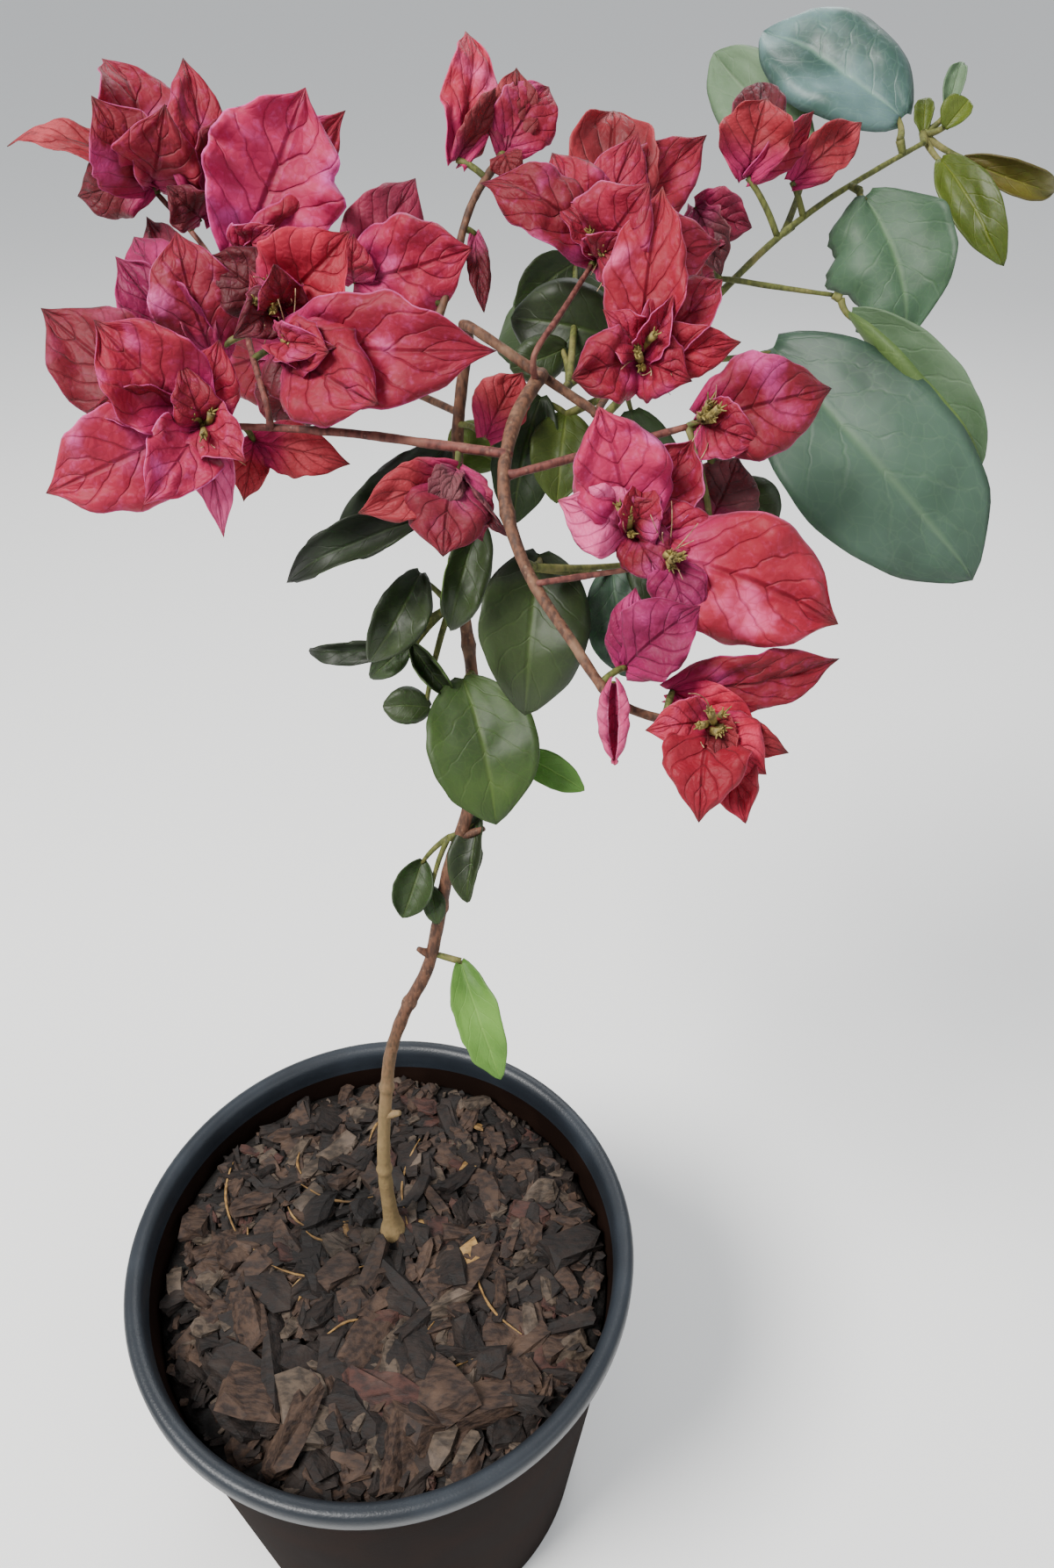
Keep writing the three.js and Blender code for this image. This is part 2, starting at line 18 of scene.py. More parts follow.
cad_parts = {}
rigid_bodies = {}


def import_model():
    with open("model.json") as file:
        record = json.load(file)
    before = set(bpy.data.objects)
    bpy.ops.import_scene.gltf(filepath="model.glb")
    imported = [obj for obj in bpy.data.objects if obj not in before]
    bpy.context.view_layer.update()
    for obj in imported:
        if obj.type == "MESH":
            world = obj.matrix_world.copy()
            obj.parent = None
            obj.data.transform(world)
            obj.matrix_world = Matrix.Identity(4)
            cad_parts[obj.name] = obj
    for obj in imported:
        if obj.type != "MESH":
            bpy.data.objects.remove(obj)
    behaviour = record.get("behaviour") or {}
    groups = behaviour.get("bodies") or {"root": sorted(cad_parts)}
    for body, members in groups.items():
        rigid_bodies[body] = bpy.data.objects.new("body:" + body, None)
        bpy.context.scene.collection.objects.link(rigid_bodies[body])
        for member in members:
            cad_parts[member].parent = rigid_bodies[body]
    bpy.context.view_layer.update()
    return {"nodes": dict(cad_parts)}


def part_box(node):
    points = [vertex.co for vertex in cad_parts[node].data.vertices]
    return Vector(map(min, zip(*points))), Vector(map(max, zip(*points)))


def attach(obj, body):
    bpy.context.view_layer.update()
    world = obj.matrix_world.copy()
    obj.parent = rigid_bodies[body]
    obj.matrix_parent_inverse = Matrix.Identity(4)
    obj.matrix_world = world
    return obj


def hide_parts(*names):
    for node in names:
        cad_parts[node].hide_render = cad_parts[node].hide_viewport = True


for thing in list(bpy.data.objects):
    bpy.data.objects.remove(thing)
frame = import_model()
nodes = frame["nodes"]
MM = 0.001  # one millimetre in the frame's metres
print(len(nodes), "nodes in the frame")

# %% [markdown]
# The viewer stands close and looks down on the plant. A short lens held near makes the crown large
# and the pot small, so the camera's place and lens are set first and kept.

# %% The camera
EYE = Vector((48, -218, 545)) * MM
LOOKING_DOWN = 51.6
camera_data = bpy.data.cameras.new("camera")
camera_data.lens = 26
camera_data.sensor_width = 36
camera_data.clip_start = 0.01
camera = bpy.data.objects.new("camera", camera_data)
camera.location = EYE
camera.rotation_euler = (math.radians(LOOKING_DOWN), 0, math.radians(-1.0))
bpy.context.scene.collection.objects.link(camera)
bpy.context.scene.camera = camera
print("camera looks from", tuple(round(v, 3) for v in EYE))

# %% [markdown]
# The floor is one pale sheet, far wider than any view, so that its edge never shows.

# %% The floor
FLOOR_HALF_WIDTH = 30


def plain_paint(name, colour, roughness):
    material = bpy.data.materials.new(name)
    material.use_nodes = True
    shader = material.node_tree.nodes["Principled BSDF"]
    shader.inputs["Base Color"].default_value = (*colour, 1)
    shader.inputs["Roughness"].default_value = roughness
    return material


floor_mesh = bmesh.new()
bmesh.ops.create_grid(floor_mesh, x_segments=1, y_segments=1, size=FLOOR_HALF_WIDTH)
floor_data = bpy.data.meshes.new("floor")
floor_mesh.to_mesh(floor_data)
floor_mesh.free()
floor = bpy.data.objects.new("floor", floor_data)
floor_data.materials.append(plain_paint("floor_paper", (0.86, 0.86, 0.85), 0.9))
bpy.context.scene.collection.objects.link(floor)
print("a pale floor", 2 * FLOOR_HALF_WIDTH, "metres wide")

# %% [markdown]
# A large soft lamp on the upper left gives the sheen on the waxy leaves, a weaker one on the right
# opens the shadows, one behind draws the edges, and a pale world fills the rest. Wide lamps are used
# because a small one would cut hard shadows between the thin blades.

# %% The lamps and the world
def soft_lamp(name, place, target, size, watts, tint):
    data = bpy.data.lights.new(name, "AREA")
    data.shape = "DISK"
    data.size = size
    data.energy = watts
    data.color = tint
    lamp = bpy.data.objects.new(name, data)
    lamp.location = place
    lamp.rotation_euler = (Vector(target) - Vector(place)).to_track_quat("-Z", "Y").to_euler()
    bpy.context.scene.collection.objects.link(lamp)


crown_middle = (0.05, 0.03, 0.42)
soft_lamp("key_lamp", (-0.7, -0.5, 1.5), crown_middle, 0.6, 50, (1, 0.98, 0.95))
soft_lamp("fill_lamp", (1.0, -0.8, 0.9), crown_middle, 1.0, 6, (0.95, 0.97, 1))
soft_lamp("back_lamp", (0.3, 1.1, 1.2), crown_middle, 0.8, 9, (1, 1, 1))
world = bpy.data.worlds.new("world")
world.use_nodes = True
world.node_tree.nodes["Background"].inputs["Color"].default_value = (0.93, 0.96, 1, 1)
world.node_tree.nodes["Background"].inputs["Strength"].default_value = 0.72
bpy.context.scene.world = world
print("three soft lamps and a pale world")

# %% [markdown]
# ## Reading the limbs
# Each limb of the frame is a tapering tube made of rings. A merged copy of its mesh is walked ring
# by ring from the tip, whose flat end still has its middle point. Every ring gives one point of the
# centre line and one radius. The foot was trimmed where it meets its parent, so the walk stops
# there, and the line is carried on to the parent's own centre line.

# %% Walk the rings of a limb
def merged_copy(node):
    bm = bmesh.new()
    bm.from_mesh(nodes[node].data)
    bmesh.ops.remove_doubles(bm, verts=bm.verts, dist=0.001 * MM)
    return bm


def middle(points):
    return sum(points, Vector()) / len(points)


FLAT = 0.9999


def end_caps(bm, sides):
    """The middle points of the two flat ends, the smaller end first."""
    caps = []
    for vert in bm.verts:
        if len(vert.link_edges) != sides or len(vert.link_faces) != sides:
            continue
        normal = vert.link_faces[0].normal
        if all(face.normal.dot(normal) > FLAT for face in vert.link_faces):
            reach = middle([edge.other_vert(vert).co for edge in vert.link_edges]) - vert.co
            if reach.length < 0.05 * MM:
                caps.append((vert.link_edges[0].calc_length(), vert))
    return [vert for _, vert in sorted(caps, key=lambda cap: cap[0])]


def walk_limb(node, sides):
    """Centre and radius of every ring, from the foot to the tip."""
    bm = merged_copy(node)
    cap = end_caps(bm, sides)[0]
    seen = {cap}
    layer = [edge.other_vert(cap) for edge in cap.link_edges]
    line = []
    while len(layer) == sides:
        centre = middle([vert.co for vert in layer])
        line.append((centre, (layer[0].co - centre).length))
        seen.update(layer)
        layer = list({e.other_vert(v) for v in layer for e in v.link_edges} - seen)
    rest = [vert.co.copy() for vert in bm.verts if vert not in seen]
    if len(line) > 1 and len(rest) > 1:
        back = (line[-1][0] - line[-2][0]).normalized()
        reach = max((point - line[-1][0]).dot(back) for point in rest)
        if reach > 2 * MM:
            line.append((line[-1][0] + back * reach, line[-1][1]))
    bm.free()
    return line[::-1]


LIMBS = [name for name in nodes if name.startswith(("stem", "bough", "shoot", "arm", "twig"))]
STEM_SIDES, BOUGH_SIDES = 6, 5
limbs = {name: walk_limb(name, STEM_SIDES if name == "stem" else BOUGH_SIDES) for name in LIMBS}
for name, line in limbs.items():
    ends = [round(radius / MM, 1) for _, radius in (line[0], line[-1])]
    print(name, len(line), "rings, radius at foot and tip", ends)

# %% [markdown]
# A foot is joined to the nearest point of any other limb's line, since a real bough grows out of the
# wood and doesn't just touch it. The two main boughs start side by side, so they may join only the
# stem and never each other. The stem keeps its own foot, which stands in the mix.

# %% Join the limbs
def nearest_on(lines, point, limit):
    """The nearest spot on any line and the radius there, or None past the limit."""
    best, found = limit, None
    for line in lines:
        for (a, ra), (b, rb) in zip(line, line[1:]):
            share = max(0, min(1, (point - a).dot(b - a) / max((b - a).length_squared, 1e-12)))
            spot = a.lerp(b, share)
            if (spot - point).length < best:
                best, found = (spot - point).length, (spot, ra + (rb - ra) * share)
    return found


FROM_STEM = ("bough_upright", "bough_right")
JOIN_WITHIN = 30 * MM
FOOT_SWELLING = 1.15
for name, line in limbs.items():
    if name == "stem":
        continue
    others = [other for key, other in limbs.items() if key != name]
    if name in FROM_STEM:
        others = [limbs["stem"]]
    joint = nearest_on(others, line[0][0], JOIN_WITHIN)
    if joint:
        line.insert(0, (joint[0], min(line[0][1] * FOOT_SWELLING, joint[1])))
    print(name, "joined" if joint else "free at its foot")

# %% [markdown]
# ## Reading the blades
# Each blade of the frame is a thin wedge that ends in one sharp corner. The last section before that
# corner is a triangle: left edge, right edge and a ridge on the back. It stands square to the blade,
# so this one triangle and the tip give the blade's length, width, facing, fold and bow. The clock is
# the way a blade points round its head, as seen from the front, and sorts the blades of a head.

# %% Read a blade from its tip
LAST_STATION = 0.8  # share of the length at which the last section stands
WEDGES = {"bract": (0.52, 0.6 * MM), "leaf": (0.62, 0.72 * MM)}  # its share of the width, its depth
LEAN = math.radians(90 - LOOKING_DOWN)
ACROSS = Vector((1, 0, 0))
UPWARD = Vector((0, math.sin(LEAN), math.cos(LEAN)))


def read_blade(tip, ring, kind):
    pairs = [(a, b) for i, a in enumerate(ring) for b in ring[i + 1:]]
    left, right = max(pairs, key=lambda pair: (pair[0].co - pair[1].co).length)
    ridge = next(vert for vert in ring if vert not in (left, right))
    portion, depth = WEDGES[kind]
    along = (left.co - ridge.co).cross(right.co - ridge.co).normalized()
    if along.dot(tip.co - ridge.co) < 0:
        along = -along
    spine = (left.co + right.co) / 2 - ridge.co
    rise = max(0, spine.length - depth)
    face = spine.normalized()
    side = (right.co - left.co) / 2
    centre = ridge.co + face * depth
    length = (tip.co - centre).dot(along) / (1 - LAST_STATION)
    root = tip.co - along * length
    reach = tip.co - root
    return {
        "root": root, "tip": tip.co.copy(), "along": along, "face": face, "length": length,
        "width": 2 * math.hypot(rise, side.length) / portion,
        "fold": math.atan2(rise, side.length),
        "bow": (centre - tip.co).dot(face) / (4 * LAST_STATION * (1 - LAST_STATION)),
        "clock": math.degrees(math.atan2(reach.dot(ACROSS), reach.dot(UPWARD))),
        "stray": abs((tip.co - centre).dot(side.normalized())),
    }


MOST_STRAY = 0.02 * MM
SHORTEST_BLADE = 4 * MM


def read_blades(node):
    """Every blade of one node: a tip is a corner where just three faces meet."""
    kind = "leaf" if node.startswith("lea") else "bract"
    bm = merged_copy(node)
    found = []
    for tip in bm.verts:
        ring = [edge.other_vert(tip) for edge in tip.link_edges]
        if len(ring) == 3 and all(bm.edges.get((a, b)) for a in ring for b in ring if a is not b):
            blade = read_blade(tip, ring, kind)
            if blade["stray"] < MOST_STRAY and blade["length"] > SHORTEST_BLADE:
                found.append(blade)
    bm.free()
    return sorted(found, key=lambda blade: blade["clock"])


blades = {name: read_blades(name) for name in nodes if name.startswith(("head", "bract", "lea"))}
for name, found in blades.items():
    print(name, [(round(b["clock"]), round(b["length"] / MM), round(b["width"] / MM)) for b in found])
print(sum(len(found) for found in blades.values()), "blades")

# %% [markdown]
# ## Shader maths as Python
# A procedural look is arithmetic on coordinates. One small class wraps the output of a node, so that
# `1 - mask * 0.3` adds the Math nodes for it. Any other node comes from `make`, which sets the
# node's own settings first and then its inputs, by name or by number.

# %% The wrapper for node outputs
class Flow:
    """One output socket, on which Python's arithmetic makes Math nodes."""

    def __init__(self, tree, socket=None):
        self.tree = tree
        self.socket = socket

    def make(self, kind, settings=None, inputs=None, output=0):
        node = self.tree.nodes.new(kind)
        for name, value in (settings or {}).items():
            setattr(node, name, value)
        for name, value in (inputs or {}).items():
            if isinstance(value, Flow):
                self.tree.links.new(value.socket, node.inputs[name])
            else:
                node.inputs[name].default_value = value
        return Flow(self.tree, node.outputs[output])

    def maths(self, operation, *values):
        return self.make("ShaderNodeMath", {"operation": operation}, dict(enumerate(values)))

    def __add__(self, other):
        return self.maths("ADD", self, other)

    def __sub__(self, other):
        return self.maths("SUBTRACT", self, other)

    def __rsub__(self, other):
        return self.maths("SUBTRACT", other, self)

    def __mul__(self, other):
        return self.maths("MULTIPLY", self, other)

    __radd__ = __add__
    __rmul__ = __mul__


print("a socket can be added, subtracted and multiplied")

# %% [markdown]
# A handful of short helpers do the rest. `fade` turns a value into a soft mask between two limits,
# `blend_colours` mixes two colours by a mask, and `relief` makes a height into a bump. They are
# plain functions, so a material below reads as a list of layers from the ground colour upwards.

# %% Colours, fades and relief
def alone(value, operation):
    """A Math node with one input, such as ABSOLUTE or FRACT."""
    return value.make("ShaderNodeMath", {"operation": operation}, {0: value})


MIX_FACTOR, MIX_LOW, MIX_HIGH, MIX_RESULT = 0, 6, 7, 2  # a Mix node's sockets when it mixes colours


def blend_colours(factor, low, high):
    low = low if isinstance(low, Flow) else (*low, 1)
    high = high if isinstance(high, Flow) else (*high, 1)
    inputs = {MIX_FACTOR: factor, MIX_LOW: low, MIX_HIGH: high}
    return factor.make("ShaderNodeMix", {"data_type": "RGBA"}, inputs, MIX_RESULT)


def fade(value, start, end):
    """0 at the start, 1 at the end, and smooth between."""
    settings = {"interpolation_type": "SMOOTHSTEP"}
    inputs = {"Value": value, "From Min": start, "From Max": end}
    return value.make("ShaderNodeMapRange", settings, inputs)


def hue(code):
    """A colour written as six hex digits, as linear light."""
    parts = [int(code[i:i + 2], 16) / 255 for i in (0, 2, 4)]
    return tuple(p / 12.92 if p <= 0.04045 else ((p + 0.055) / 1.055) ** 2.4 for p in parts)


def new_material(name, **constants):
    """A material with some of its shader's own sockets set, their spaces written as underscores."""
    material = bpy.data.materials.new(name)
    material.use_nodes = True
    shader = material.node_tree.nodes["Principled BSDF"]
    for socket, value in constants.items():
        shader.inputs[socket.replace("_", " ")].default_value = value
    return material, shader, Flow(material.node_tree)


def feed(shader, socket, flow):
    flow.tree.links.new(flow.socket, shader.inputs[socket])


def relief(height, strength, distance):
    inputs = {"Strength": strength, "Distance": distance, "Height": height}
    return height.make("ShaderNodeBump", None, inputs)


def object_place(flow):
    return flow.make("ShaderNodeTexCoord", None, None, "Object")


def speckle(flow, place, scale, detail):
    inputs = {"Vector": place, "Scale": scale, "Detail": detail}
    return flow.make("ShaderNodeTexNoise", None, inputs)


print("shader helpers ready")

# %% [markdown]
# ## The skin of a blade
# Bracts and leaves share one plan: a midrib, side veins that run forward to the edge, and a fine net
# between them. The pattern follows the blade, so it reads the blade's own UV map, where x runs across
# and y runs from foot to tip. Each blade also carries one random number, its shade, so that no two
# of the same colour match.

# %% Vein masks on a blade
def blade_masks(flow, veins, slant):
    uv = flow.make("ShaderNodeUVMap", {"uv_map": "blade"})
    x = flow.make("ShaderNodeSeparateXYZ", None, {"Vector": uv}, "X")
    y = Flow(flow.tree, x.socket.node.outputs["Y"])
    across = alone(x * 2 - 1, "ABSOLUTE")
    shade = flow.make("ShaderNodeAttribute", {"attribute_name": "shade"}, None, "Fac")
    place = object_place(flow)
    wander = speckle(flow, place, 130, 2)
    phase = (y * veins - across * slant) + (wander - 0.5) * 0.9
    line = alone(alone(phase, "FRACT") - 0.5, "ABSOLUTE") * 2
    side = fade(line, 0.85, 1.0) * (1 - across * 0.55)
    rib = fade(across, 0.09, 0.0)
    stretched = flow.make("ShaderNodeMapping", None, {"Vector": uv, "Scale": (11, 17, 1)})
    distance = {"feature": "DISTANCE_TO_EDGE"}
    cells = flow.make("ShaderNodeTexVoronoi", distance, {"Vector": stretched, "Scale": 1})
    net = fade(cells, 0.07, 0.0)
    return {"across": across, "along": y, "shade": shade, "place": place, "side": side, "rib": rib,
            "net": net, "cells": cells, "line": line}


print("masks: across, along, shade, place, side, rib, net, cells, line")

# %% [markdown]
# A bract is a coloured papery leaf. Its colour is deeper in the veins. It is also deeper in the dips of its
# relief as painted shade, mixed with each blade's own tone. It is paler on the swells of its relief as
# a painted highlight, carries a painted magenta highlight near the flower, and often turns brown at
# the very tip. A little scattering lets the light through, since the real one is as thin as paper.
# Each colour lists its slot, then the codes of the body, the deep colour of the veins and the painted
# shade, the pale colour of the painted highlight, the flecks and the thin rim, and the tip.

# %% Bract materials
# the magenta laid near the foot of each bract is a painted highlight
MAGENTA_HIGHLIGHT = hue("a0185c")


def bract_material(name, body, deep, pale, tip):
    material, shader, flow = new_material(
        name, Subsurface_Weight=0.12, Subsurface_Scale=0.002, Sheen_Weight=0.02, Specular_IOR_Level=0.25)
    shader.inputs["Subsurface Radius"].default_value = (1.0, 0.3, 0.4)
    m = blade_masks(flow, 5.6, 2.1)
    relief_swell = speckle(flow, m["place"], 75, 4)
    fleck = speckle(flow, m["place"], 620, 3)
    dome = 1 - m["line"] * m["line"]
    # deep in the dips of the relief: painted shade, mixed with each blade's own random tone
    ground = blend_colours(fade(relief_swell + (m["shade"] - 0.5) * 0.6, 0.3, 0.7), deep, body)
    # a painted magenta highlight towards the foot
    ground = blend_colours(fade(m["along"] - m["shade"] * 0.2, 0.30, -0.1) * 0.6, ground, MAGENTA_HIGHLIGHT)
    # pale on the swells of the relief: a painted highlight
    ground = blend_colours(fade(relief_swell, 0.54, 0.76) * 0.55, ground, pale)
    ground = blend_colours(fade(fleck, 0.5, 0.8) * 0.14, ground, pale)
    ground = blend_colours(m["net"] * 0.30, ground, deep)
    ground = blend_colours(m["side"] * 0.42, ground, tuple(0.45 * c for c in deep))
    ground = blend_colours(m["rib"] * 0.36, ground, tuple(0.5 * c for c in deep))
    ground = blend_colours(fade(m["across"], 0.955, 1.0) * 0.35, ground, pale)
    ground = blend_colours(fade(m["along"], 0.88, 1.0) * 0.85, ground, tip)
    feed(shader, "Base Color", ground)
    feed(shader, "Roughness", 0.52 + relief_swell * 0.25)
    height = relief_swell * 1.6 + dome * (1 - m["across"] * 0.5) * 0.4 + m["cells"] * 0.35
    height = height - m["side"] * 0.35 - m["rib"] * 0.8
    feed(shader, "Normal", relief(height, 0.75, 0.0010))
    return material


BRACT_TINTS = {
    "rose": ("bract_pink", "84112d", "6b081f", "d860a7", "641620"),
    "pink": ("bract_pink", "931640", "7b0d2c", "e66bc1", "822337"),
    "lilac": ("bract_pink", "c34f7d", "a4345e", "e087ab", "963b53"),
    "coral": ("bract_crimson", "941b33", "7b0e22", "dc5d96", "6b2925"),
    "crimson": ("bract_crimson", "790b24", "5f0617", "bf448d", "3f1015"),
    "wine": ("bract_crimson", "5c0a1a", "40040f", "983662", "30090e"),
    "scarlet": ("bract_crimson", "970f2b", "70061a", "c03b59", "591319"),
    "brick": ("bract_crimson", "7b1a24", "570f17", "a44248", "4c2420"),
    "magenta": ("bract_magenta", "840c45", "660633", "b63f7e", "60102f"),
    "dusk": ("bract_magenta", "711632", "560d24", "9e4463", "4a1a27"),
    "withered": ("bract_withered", "54222b", "321318", "704346", "2a1a16"),
}
bract_looks = {}
for tint, (slot, *codes) in BRACT_TINTS.items():
    bract_looks[tint] = bract_material("bract_" + tint, *(hue(code) for code in codes))
print(len(bract_looks), "bract colours")

# %% [markdown]
# A bougainvillea leaf is smooth and a little waxy. Young ones are yellow green and old ones dark. The
# darkest colours also carry painted shade for leaves inside the crown. Some carry a bluish bloom,
# whose paler colour on the swells of the relief is partly a painted sheen of reflected light. The
# veins are paler than the blade, and the rim is a little deeper. Each colour lists its slot, the codes
# of the body, the deep parts, the veins and the bloom with its painted sheen, and how rough its wax
# is. The underside is duller, so it has a material of its own.

# %% Leaf materials
def leaf_material(name, body, deep, vein, bloom_and_sheen, gloss):
    material, shader, flow = new_material(
        name, Subsurface_Weight=0.06, Subsurface_Scale=0.002, Coat_Weight=0.05, Coat_Roughness=0.4,
        Specular_IOR_Level=0.32)
    shader.inputs["Subsurface Radius"].default_value = (0.5, 1.0, 0.2)
    m = blade_masks(flow, 5.5, 1.7)
    relief_swell = speckle(flow, m["place"], 45, 3)
    fleck = speckle(flow, m["place"], 700, 2)
    ground = blend_colours(fade(relief_swell + (m["shade"] - 0.5) * 0.4, 0.3, 0.7), deep, body)
    # the bloom colour on the swells of the relief and in flecks, partly a painted sheen
    ground = blend_colours(fade(relief_swell, 0.42, 0.7) * 0.35, ground, bloom_and_sheen)
    ground = blend_colours(fade(fleck, 0.55, 0.8) * 0.15, ground, bloom_and_sheen)
    ground = blend_colours(fade(m["along"], 0.5, 0.0) * 0.4, ground, deep)
    ground = blend_colours(m["net"] * 0.10, ground, vein)
    ground = blend_colours(m["side"] * 0.12, ground, vein)
    ground = blend_colours(m["rib"] * 0.38, ground, vein)
    ground = blend_colours(fade(m["across"], 0.84, 1.0) * 0.35, ground, deep)
    feed(shader, "Base Color", ground)
    feed(shader, "Roughness", gloss + 0.08 + relief_swell * 0.2)
    height = relief_swell * 1.8 + m["cells"] * 0.2 - m["side"] * 0.25 - m["rib"] * 0.6
    feed(shader, "Normal", relief(height, 0.5, 0.0007))
    return material


LEAF_TINTS = {
    "blue": ("leaf_green", "304638", "1f3025", "556b4f", "496051", 0.36),
    "teal": ("leaf_green", "2d4530", "203120", "5a7250", "4c6652", 0.42),
    # a green leaf whose bluish body and bloom are a painted sheen of reflected light
    "sky": ("leaf_green", "3f5c58", "2a403a", "6f8a7a", "7f979c", 0.30),
    "green": ("leaf_green", "253613", "17250a", "424e1f", "354423", 0.4),
    "grass": ("leaf_green", "2c4012", "1e2f0b", "475820", "3e501d", 0.42),
    "olive": ("leaf_green", "485517", "33400e", "656e2a", "556022", 0.42),
    "lime": ("leaf_young", "517a2d", "3d5f20", "739447", "65883b", 0.45),
    "young": ("leaf_young", "455309", "333e05", "676d1c", "5a6516", 0.38),
    "rust": ("leaf_young", "554f11", "3e350c", "706c25", "5e5b1f", 0.42),
    "pale": ("leaf_young", "556a4f", "41563c", "6c7c62", "63765f", 0.5),
    # the deeper green of old leaves, with painted shade of the crown besides
    "dark": ("leaf_dark", "202d0d", "131d06", "3a4a1c", "313e1b", 0.38),
    # painted shade: the nearly black green of leaves deep in the crown
    "night": ("leaf_dark", "161f0c", "0e1307", "2b381c", "212c18", 0.4),
}
leaf_looks = {}
for tint, (slot, *codes, gloss) in LEAF_TINTS.items():
    leaf_looks[tint] = leaf_material("leaf_" + tint, *(hue(code) for code in codes), gloss)
UNDERSIDE = ("50662f", "3c5024", "74884c", "647a44")
leaf_back = leaf_material("leaf_back", *(hue(code) for code in UNDERSIDE), 0.55)
print(len(leaf_looks), "leaf colours, and one for the underside")

# %% [markdown]
# ## Shaping a blade
# A blade could be cut from a curve, but then it would have no vertices inside to bend. It starts as
# a flat grid made by an operator instead. Its outline comes first: widest at the peak, with one
# power for the rise from the foot and one for the fall to a drawn-out tip.

# %% The outline
ROWS, COLUMNS = 30, 16
OUTLINES = {"bract": (0.42, 0.8, 1.0, 0.05), "leaf": (0.46, 0.62, 0.66, 0.012)}
DRAWN_TIP = {"bract": 0.5, "leaf": 0.2}
TIP_STARTS = 0.78
THICKNESS = {"bract": 0.22 * MM, "leaf": 0.4 * MM}


def half_width(v, kind):
    peak, rise, fall, foot = OUTLINES[kind]
    share = ((v + foot) / (peak + foot)) ** rise * ((1 - v) / (1 - peak)) ** fall
    point = max(0, (v - TIP_STARTS) / (1 - TIP_STARTS))
    return share * (1 - DRAWN_TIP[kind] * point * point * (3 - 2 * point))


print("a bract's half width along its length:", [round(half_width(v / 8, "bract"), 2) for v in range(9)])

# %% [markdown]
# Every vertex of the grid is then moved by one formula, where u runs from edge to edge and v from
# foot to tip. The outline narrows the sheet, the fold raises its edges, the bow arches it, and small
# waves, a rolled rim, a curled tip and a crinkle make it a living thing. Near a narrow tip the fold
# and the crinkle die away, because a narrow strip that folds sharply would cross itself.

# %% Where one vertex goes
def blade_point(blade, kind, u, v, shape, seed):
    edge = abs(u)
    half = half_width(v, kind) * blade["width"] / 2 * shape["slim"]
    rough = noise.noise(Vector((v * 9, 3.1 if u > 0 else 8.4, seed * 1.9)))
    tear = 0.9 * noise.noise(Vector((v * 4.5, 1.7, seed))) if u > 0 else 0
    tear += 0.4 * noise.noise(Vector((v * 21, 5.2, seed))) if u > 0 else 0
    half *= 1 + edge * (shape["ragged"] * rough + shape["torn"] * tear)
    small = min(1, half / (5 * MM))
    side = blade["along"].cross(blade["face"])
    closing = shape["close"] * (1 if u > 0 else shape["partner"])
    turn = (blade["fold"] * (0.7 + 0.5 * edge) + closing * edge) * min(1, half / (1.6 * MM))
    lateral = half * u * math.cos(turn)
    rise = half * edge * math.sin(turn)
    wave = math.sin(2 * math.pi * (shape["waves"] * v + shape["phase"] + (0.37 if u > 0 else 0)))
    rise += shape["wave"] * half * edge ** 2 * wave
    buckle = noise.noise(Vector((u * 1.9, v * 4.0, seed * 7.7)))
    buckle += 0.5 * noise.noise(Vector((u * 4.6, v * 9.0, seed * 3.3)))
    rise += shape["crinkle"] * MM * buckle * small * min(1, blade["length"] / (32 * MM))
    rise -= shape["roll"] * half * max(0, edge - 0.6) ** 2 * 5
    rise += 4 * blade["bow"] * v * (1 - v)
    tip = max(0, v - 0.58) / 0.42
    rise += shape["curl"] * blade["length"] * tip ** 2.2
    lobe = shape["lobe"] * blade["length"] * edge ** 1.4 * max(0, 1 - v / 0.22) ** 2
    sway = shape["sway"] * blade["length"] * math.sin(math.pi * v)
    forward = blade["length"] * v - lobe - abs(shape["curl"]) * blade["length"] * 0.15 * tip ** 2
    return blade["root"] + blade["along"] * forward + side * (lateral + sway) + blade["face"] * rise


print("one formula bends every blade")

# %% [markdown]
# A sheet with two faces in one place has no edge to catch the light, so each blade gets its paper
# thickness. The sheet is extruded and the new side is moved along its own normals by the same small
# step everywhere, which stays calm even where the sheet is steep.

# %% Paper thickness
def thicken(bm, sheet, depth):
    """Extrude a sheet by its own normals, and keep both sides and the rim."""
    front = bmesh.ops.extrude_face_region(bm, geom=sheet, use_keep_orig=True)["geom"]
    lifted = {item for item in front if isinstance(item, bmesh.types.BMFace)}
    for vert in (item for item in front if isinstance(item, bmesh.types.BMVert)):
        normal = sum((face.normal for face in vert.link_faces if face in lifted), Vector())
        vert.co += normal.normalized() * depth
    for face in sheet:
        face.material_index = 1
    rim = {face for vert in front if isinstance(vert, bmesh.types.BMVert) for face in vert.link_faces}
    bmesh.ops.recalc_face_normals(bm, faces=list(rim | lifted | set(sheet)))


print("thickness in mm:", {kind: round(depth / MM, 2) for kind, depth in THICKNESS.items()})

# %% [markdown]
# No two blades share a shape, so a seeded draw picks each one's waves, curl, roll and fold. Leaves
# are firmer and calmer than bracts. A few blades get changes of their own afterwards.

